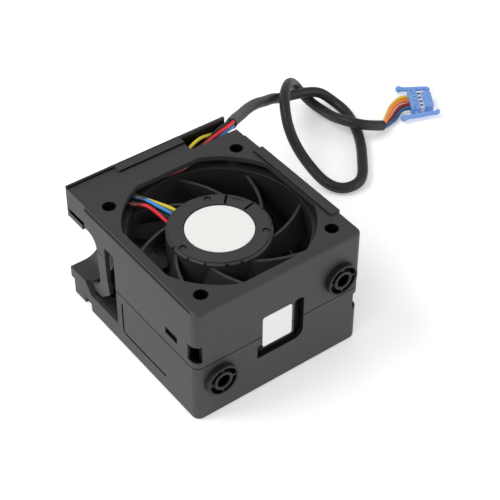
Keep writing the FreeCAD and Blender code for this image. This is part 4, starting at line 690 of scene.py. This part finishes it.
wireValues = {
    "leadDiameter": 1.24,
    "tailDiameter": 1.5,
    "leads": {
        "red": [
            (-6.6, 8.2, 36.9), (-8.25, 10.3, 37.9), (-10.45, 12.9, 39.55), (-12.3, 18.7, 42.4),
            (-13.9, 21.6, 43.5),
            (-17, 23.8, 43.4), (-18.4, 26.6, 43.4), (-18.2, 29.8, 43.4), (-16.6, 32.2, 43.5),
            (-13.4, 32.8, 43.55),
            (-8.4, 31.4, 43.55), (-2.5, 30.3, 43.55), (2.5, 28.9, 43.5), (7.5, 28.9, 43.4), (12, 31.2, 43.4),
            (15.8, 34, 43.5), (19.6, 35.4, 43.6), (23.6, 36.5, 43.8), (27.4, 37.3, 44.2), (30.6, 37.5, 44.7),
            (33.26, 38.2, 44.79), (34.27, 39.21, 44.07),
        ],
        "yellow": [
            (-2.4, 10.2, 36.9), (-3.3, 12.8, 37.9), (-4.6, 15.9, 39.55), (-7.1, 19, 41), (-9.4, 21.8, 41.8),
            (-11.2, 24, 42.5), (-13.2, 27.4, 42.68), (-13.4, 30.6, 42.2), (-11, 31.3, 42.1),
            (-5.5, 31.7, 42.1),
            (-0.5, 31.6, 42.2),
            (4.5, 31.4, 42.9), (9, 33.6, 43.5), (12.9, 36, 43.5), (17, 38, 43.7), (21.2, 39.3, 43.5),
            (24.4, 39.45, 42.7), (28.4, 39, 42.7), (31.72, 38.78, 43.45), (32.73, 39.79, 42.73),
        ],
        "blue": [
            (-3.8, 9.8, 36.9), (-5, 12.2, 37.9), (-6.5, 15.3, 39.55), (-10.1, 19.4, 42.2),
            (-12.1, 23.5, 43.5),
            (-14.5, 26.4, 43.5), (-15.4, 29.4, 43.2), (-14.2, 31.9, 42.35), (-9, 33, 42.1), (2.5, 32.9, 42.2),
            (7.5, 33.8, 42.05), (12, 34.4, 42.05), (16.2, 35, 42.1), (20.2, 35.4, 42.1), (24.2, 36.4, 42.2),
            (28, 37.5, 42.7), (30.8, 37.5, 43.1), (32.78, 37.72, 43.45), (33.79, 38.73, 42.73),
        ],
        "black": [
            (-5.25, 9.1, 36.9), (-6.6, 11.4, 37.9), (-8.3, 14.4, 39.55), (-11, 18.2, 40.95),
            (-13.2, 22.2, 42.1),
            (-15.8, 24.8, 42.8), (-16.6, 28.2, 42.7), (-16.4, 31.6, 42.2), (-12.8, 34, 42.05),
            (-6, 34.3, 42.05),
            (-0.5, 34.3, 41.9), (5, 35, 41.9), (8.5, 35.7, 42), (12, 36.2, 42.1), (16.4, 36.7, 42.1),
            (20.4, 37.4, 42.1), (23.4, 37.9, 42.7), (26, 38.5, 43.8), (28.6, 38.8, 44.7),
            (32.2, 39.26, 44.79),
            (33.21, 40.27, 44.07),
        ],
    },
    "tails": {
        "yellow": [
            (111.36, 48.44, 2.5), (112.66, 48.64, 1.8), (115.1, 50, 1.5), (118.9, 52.9, 1.2),
            (122.6, 55.6, 1.2),
            (126.4, 57.1, 1.6), (129.97, 57.3, 2.2), (133.1, 55.34, 2.2),
        ],
        "red": [
            (111.94, 47.57, 3.34), (113.25, 47.77, 2.63), (115.4, 49.2, 2.6), (119.4, 51.9, 2.3),
            (123, 54.2, 2.1),
            (125.8, 55, 2.1), (128.64, 55.19, 2.2), (131.78, 53.22, 2.2),
        ],
        "black": [
            (111.06, 47.43, 1.66), (112.37, 47.63, 0.96), (115.3, 48.2, 1), (119.7, 50.4, 0.8),
            (124, 52.9, 1.2),
            (127.32, 53.06, 2.2), (130.46, 51.1, 2.2),
        ],
        "blue": [
            (111.64, 46.56, 2.5), (112.95, 46.76, 1.8), (115.6, 47.3, 1.8), (120.1, 48.8, 1.2),
            (123.4, 50.8, 1.4),
            (125.99, 50.95, 2.2), (129.13, 48.98, 2.2),
        ],
    },
}


def cordPiece(name, route, diameter, node, sides=6):
    # a round cord: a NURBS line through its control points, with the section carried along it
    curve = bpy.data.curves.new(name, "CURVE")
    curve.dimensions = "3D"
    curve.bevel_depth = 1.0  # times each point's radius
    curve.bevel_resolution = sides
    curve.resolution_u = 8
    curve.use_fill_caps = True
    line = curve.splines.new("NURBS")
    line.points.add(len(route) - 1)
    line.points.foreach_set("co", [c for x, y, z in route for c in (x * mm, y * mm, z * mm, 1.0)])
    line.points.foreach_set("radius", [diameter / 2 * mm] * len(route))
    line.order_u = 3
    line.use_endpoint_u = True
    piece = bpy.data.objects.new(name, curve)
    bpy.context.collection.objects.link(piece)
    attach(piece, "module")
    dress(piece, finishes[slotOf[node]])
    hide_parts(node)
    return piece


sleeve = cordPiece("cableSleeve", sleeveValues["route"], sleeveValues["diameter"], "cable_sleeve", 10)
wires = [
    cordPiece(f"{kind}{colour.capitalize()}", route, wireValues[f"{kind}Diameter"], f"{kind}_{colour}")
    for kind in ("lead", "tail") for colour, route in wireValues[f"{kind}s"].items()
]
tails = [wire for wire in wires if wire.name.startswith("tail")]
for tail in tails:
    dress(tail, tailFinish[tail.name[4:].lower()])
print("cords done")


# ---------- floor and light
stageValues = {
    "floorColour": (0.93, 0.93, 0.93),
    "floorHalf": 3.0,  # metres
    "aim": (20, 0, 20),  # mm, where the lamps point
    "lamps": [  # place mm, size mm, watts
        ("keyLamp", (-420, 260, 640), 420, 3.0),
        ("fillLamp", (-600, -300, 330), 420, 1.35),
        ("frontLamp", (560, -460, 280), 420, 1.5),
    ],
    "worldStrength": 0.5,
    "floorLift": 0.30,
}


def floorFinish(values):
    # pale paper: its colour takes the object's shadow, and a little light of its own, which only the camera
    # and reflections see, lifts it to white
    f = Finish("floorPaper")
    path = f.node("ShaderNodeLightPath", {}, {})
    seen = path.most(Signal(f, path.socket.node.outputs["Is Glossy Ray"]))
    return f.shade(Base_Color=values["floorColour"], Roughness=0.9, Specular_IOR_Level=0.1,
                   Emission_Color=f.mix(seen, (0, 0, 0), (values["floorLift"],) * 3), Emission_Strength=1.0)


def addStage(values):
    # a square floor, three square lamps that face the aim, and an even world
    corners = np.array([(-1, -1, 0), (1, -1, 0), (1, 1, 0), (-1, 1, 0)], float) * values["floorHalf"]
    mesh = bpy.data.meshes.new("floor")
    mesh.from_pydata(corners.tolist(), [], [(0, 1, 2, 3)])
    floor = bpy.data.objects.new("floor", mesh)
    bpy.context.collection.objects.link(floor)
    mesh.materials.append(floorFinish(values))
    aim = Vector(values["aim"]) * mm
    for name, place, width, watts in values["lamps"]:
        data = bpy.data.lights.new(name, "AREA")
        data.shape = "SQUARE"
        data.size = width * mm
        data.energy = watts
        lamp = bpy.data.objects.new(name, data)
        lamp.location = [v * mm for v in place]
        lamp.rotation_euler = (lamp.location - aim).to_track_quat("Z", "Y").to_euler()
        bpy.context.collection.objects.link(lamp)
    world = bpy.data.worlds.new("studio")
    world.use_nodes = True
    bpy.context.scene.world = world
    backdrop = world.node_tree.nodes["Background"]
    backdrop.inputs["Color"].default_value = (1, 1, 1, 1)
    backdrop.inputs["Strength"].default_value = values["worldStrength"]


addStage(stageValues)
print("stage done")
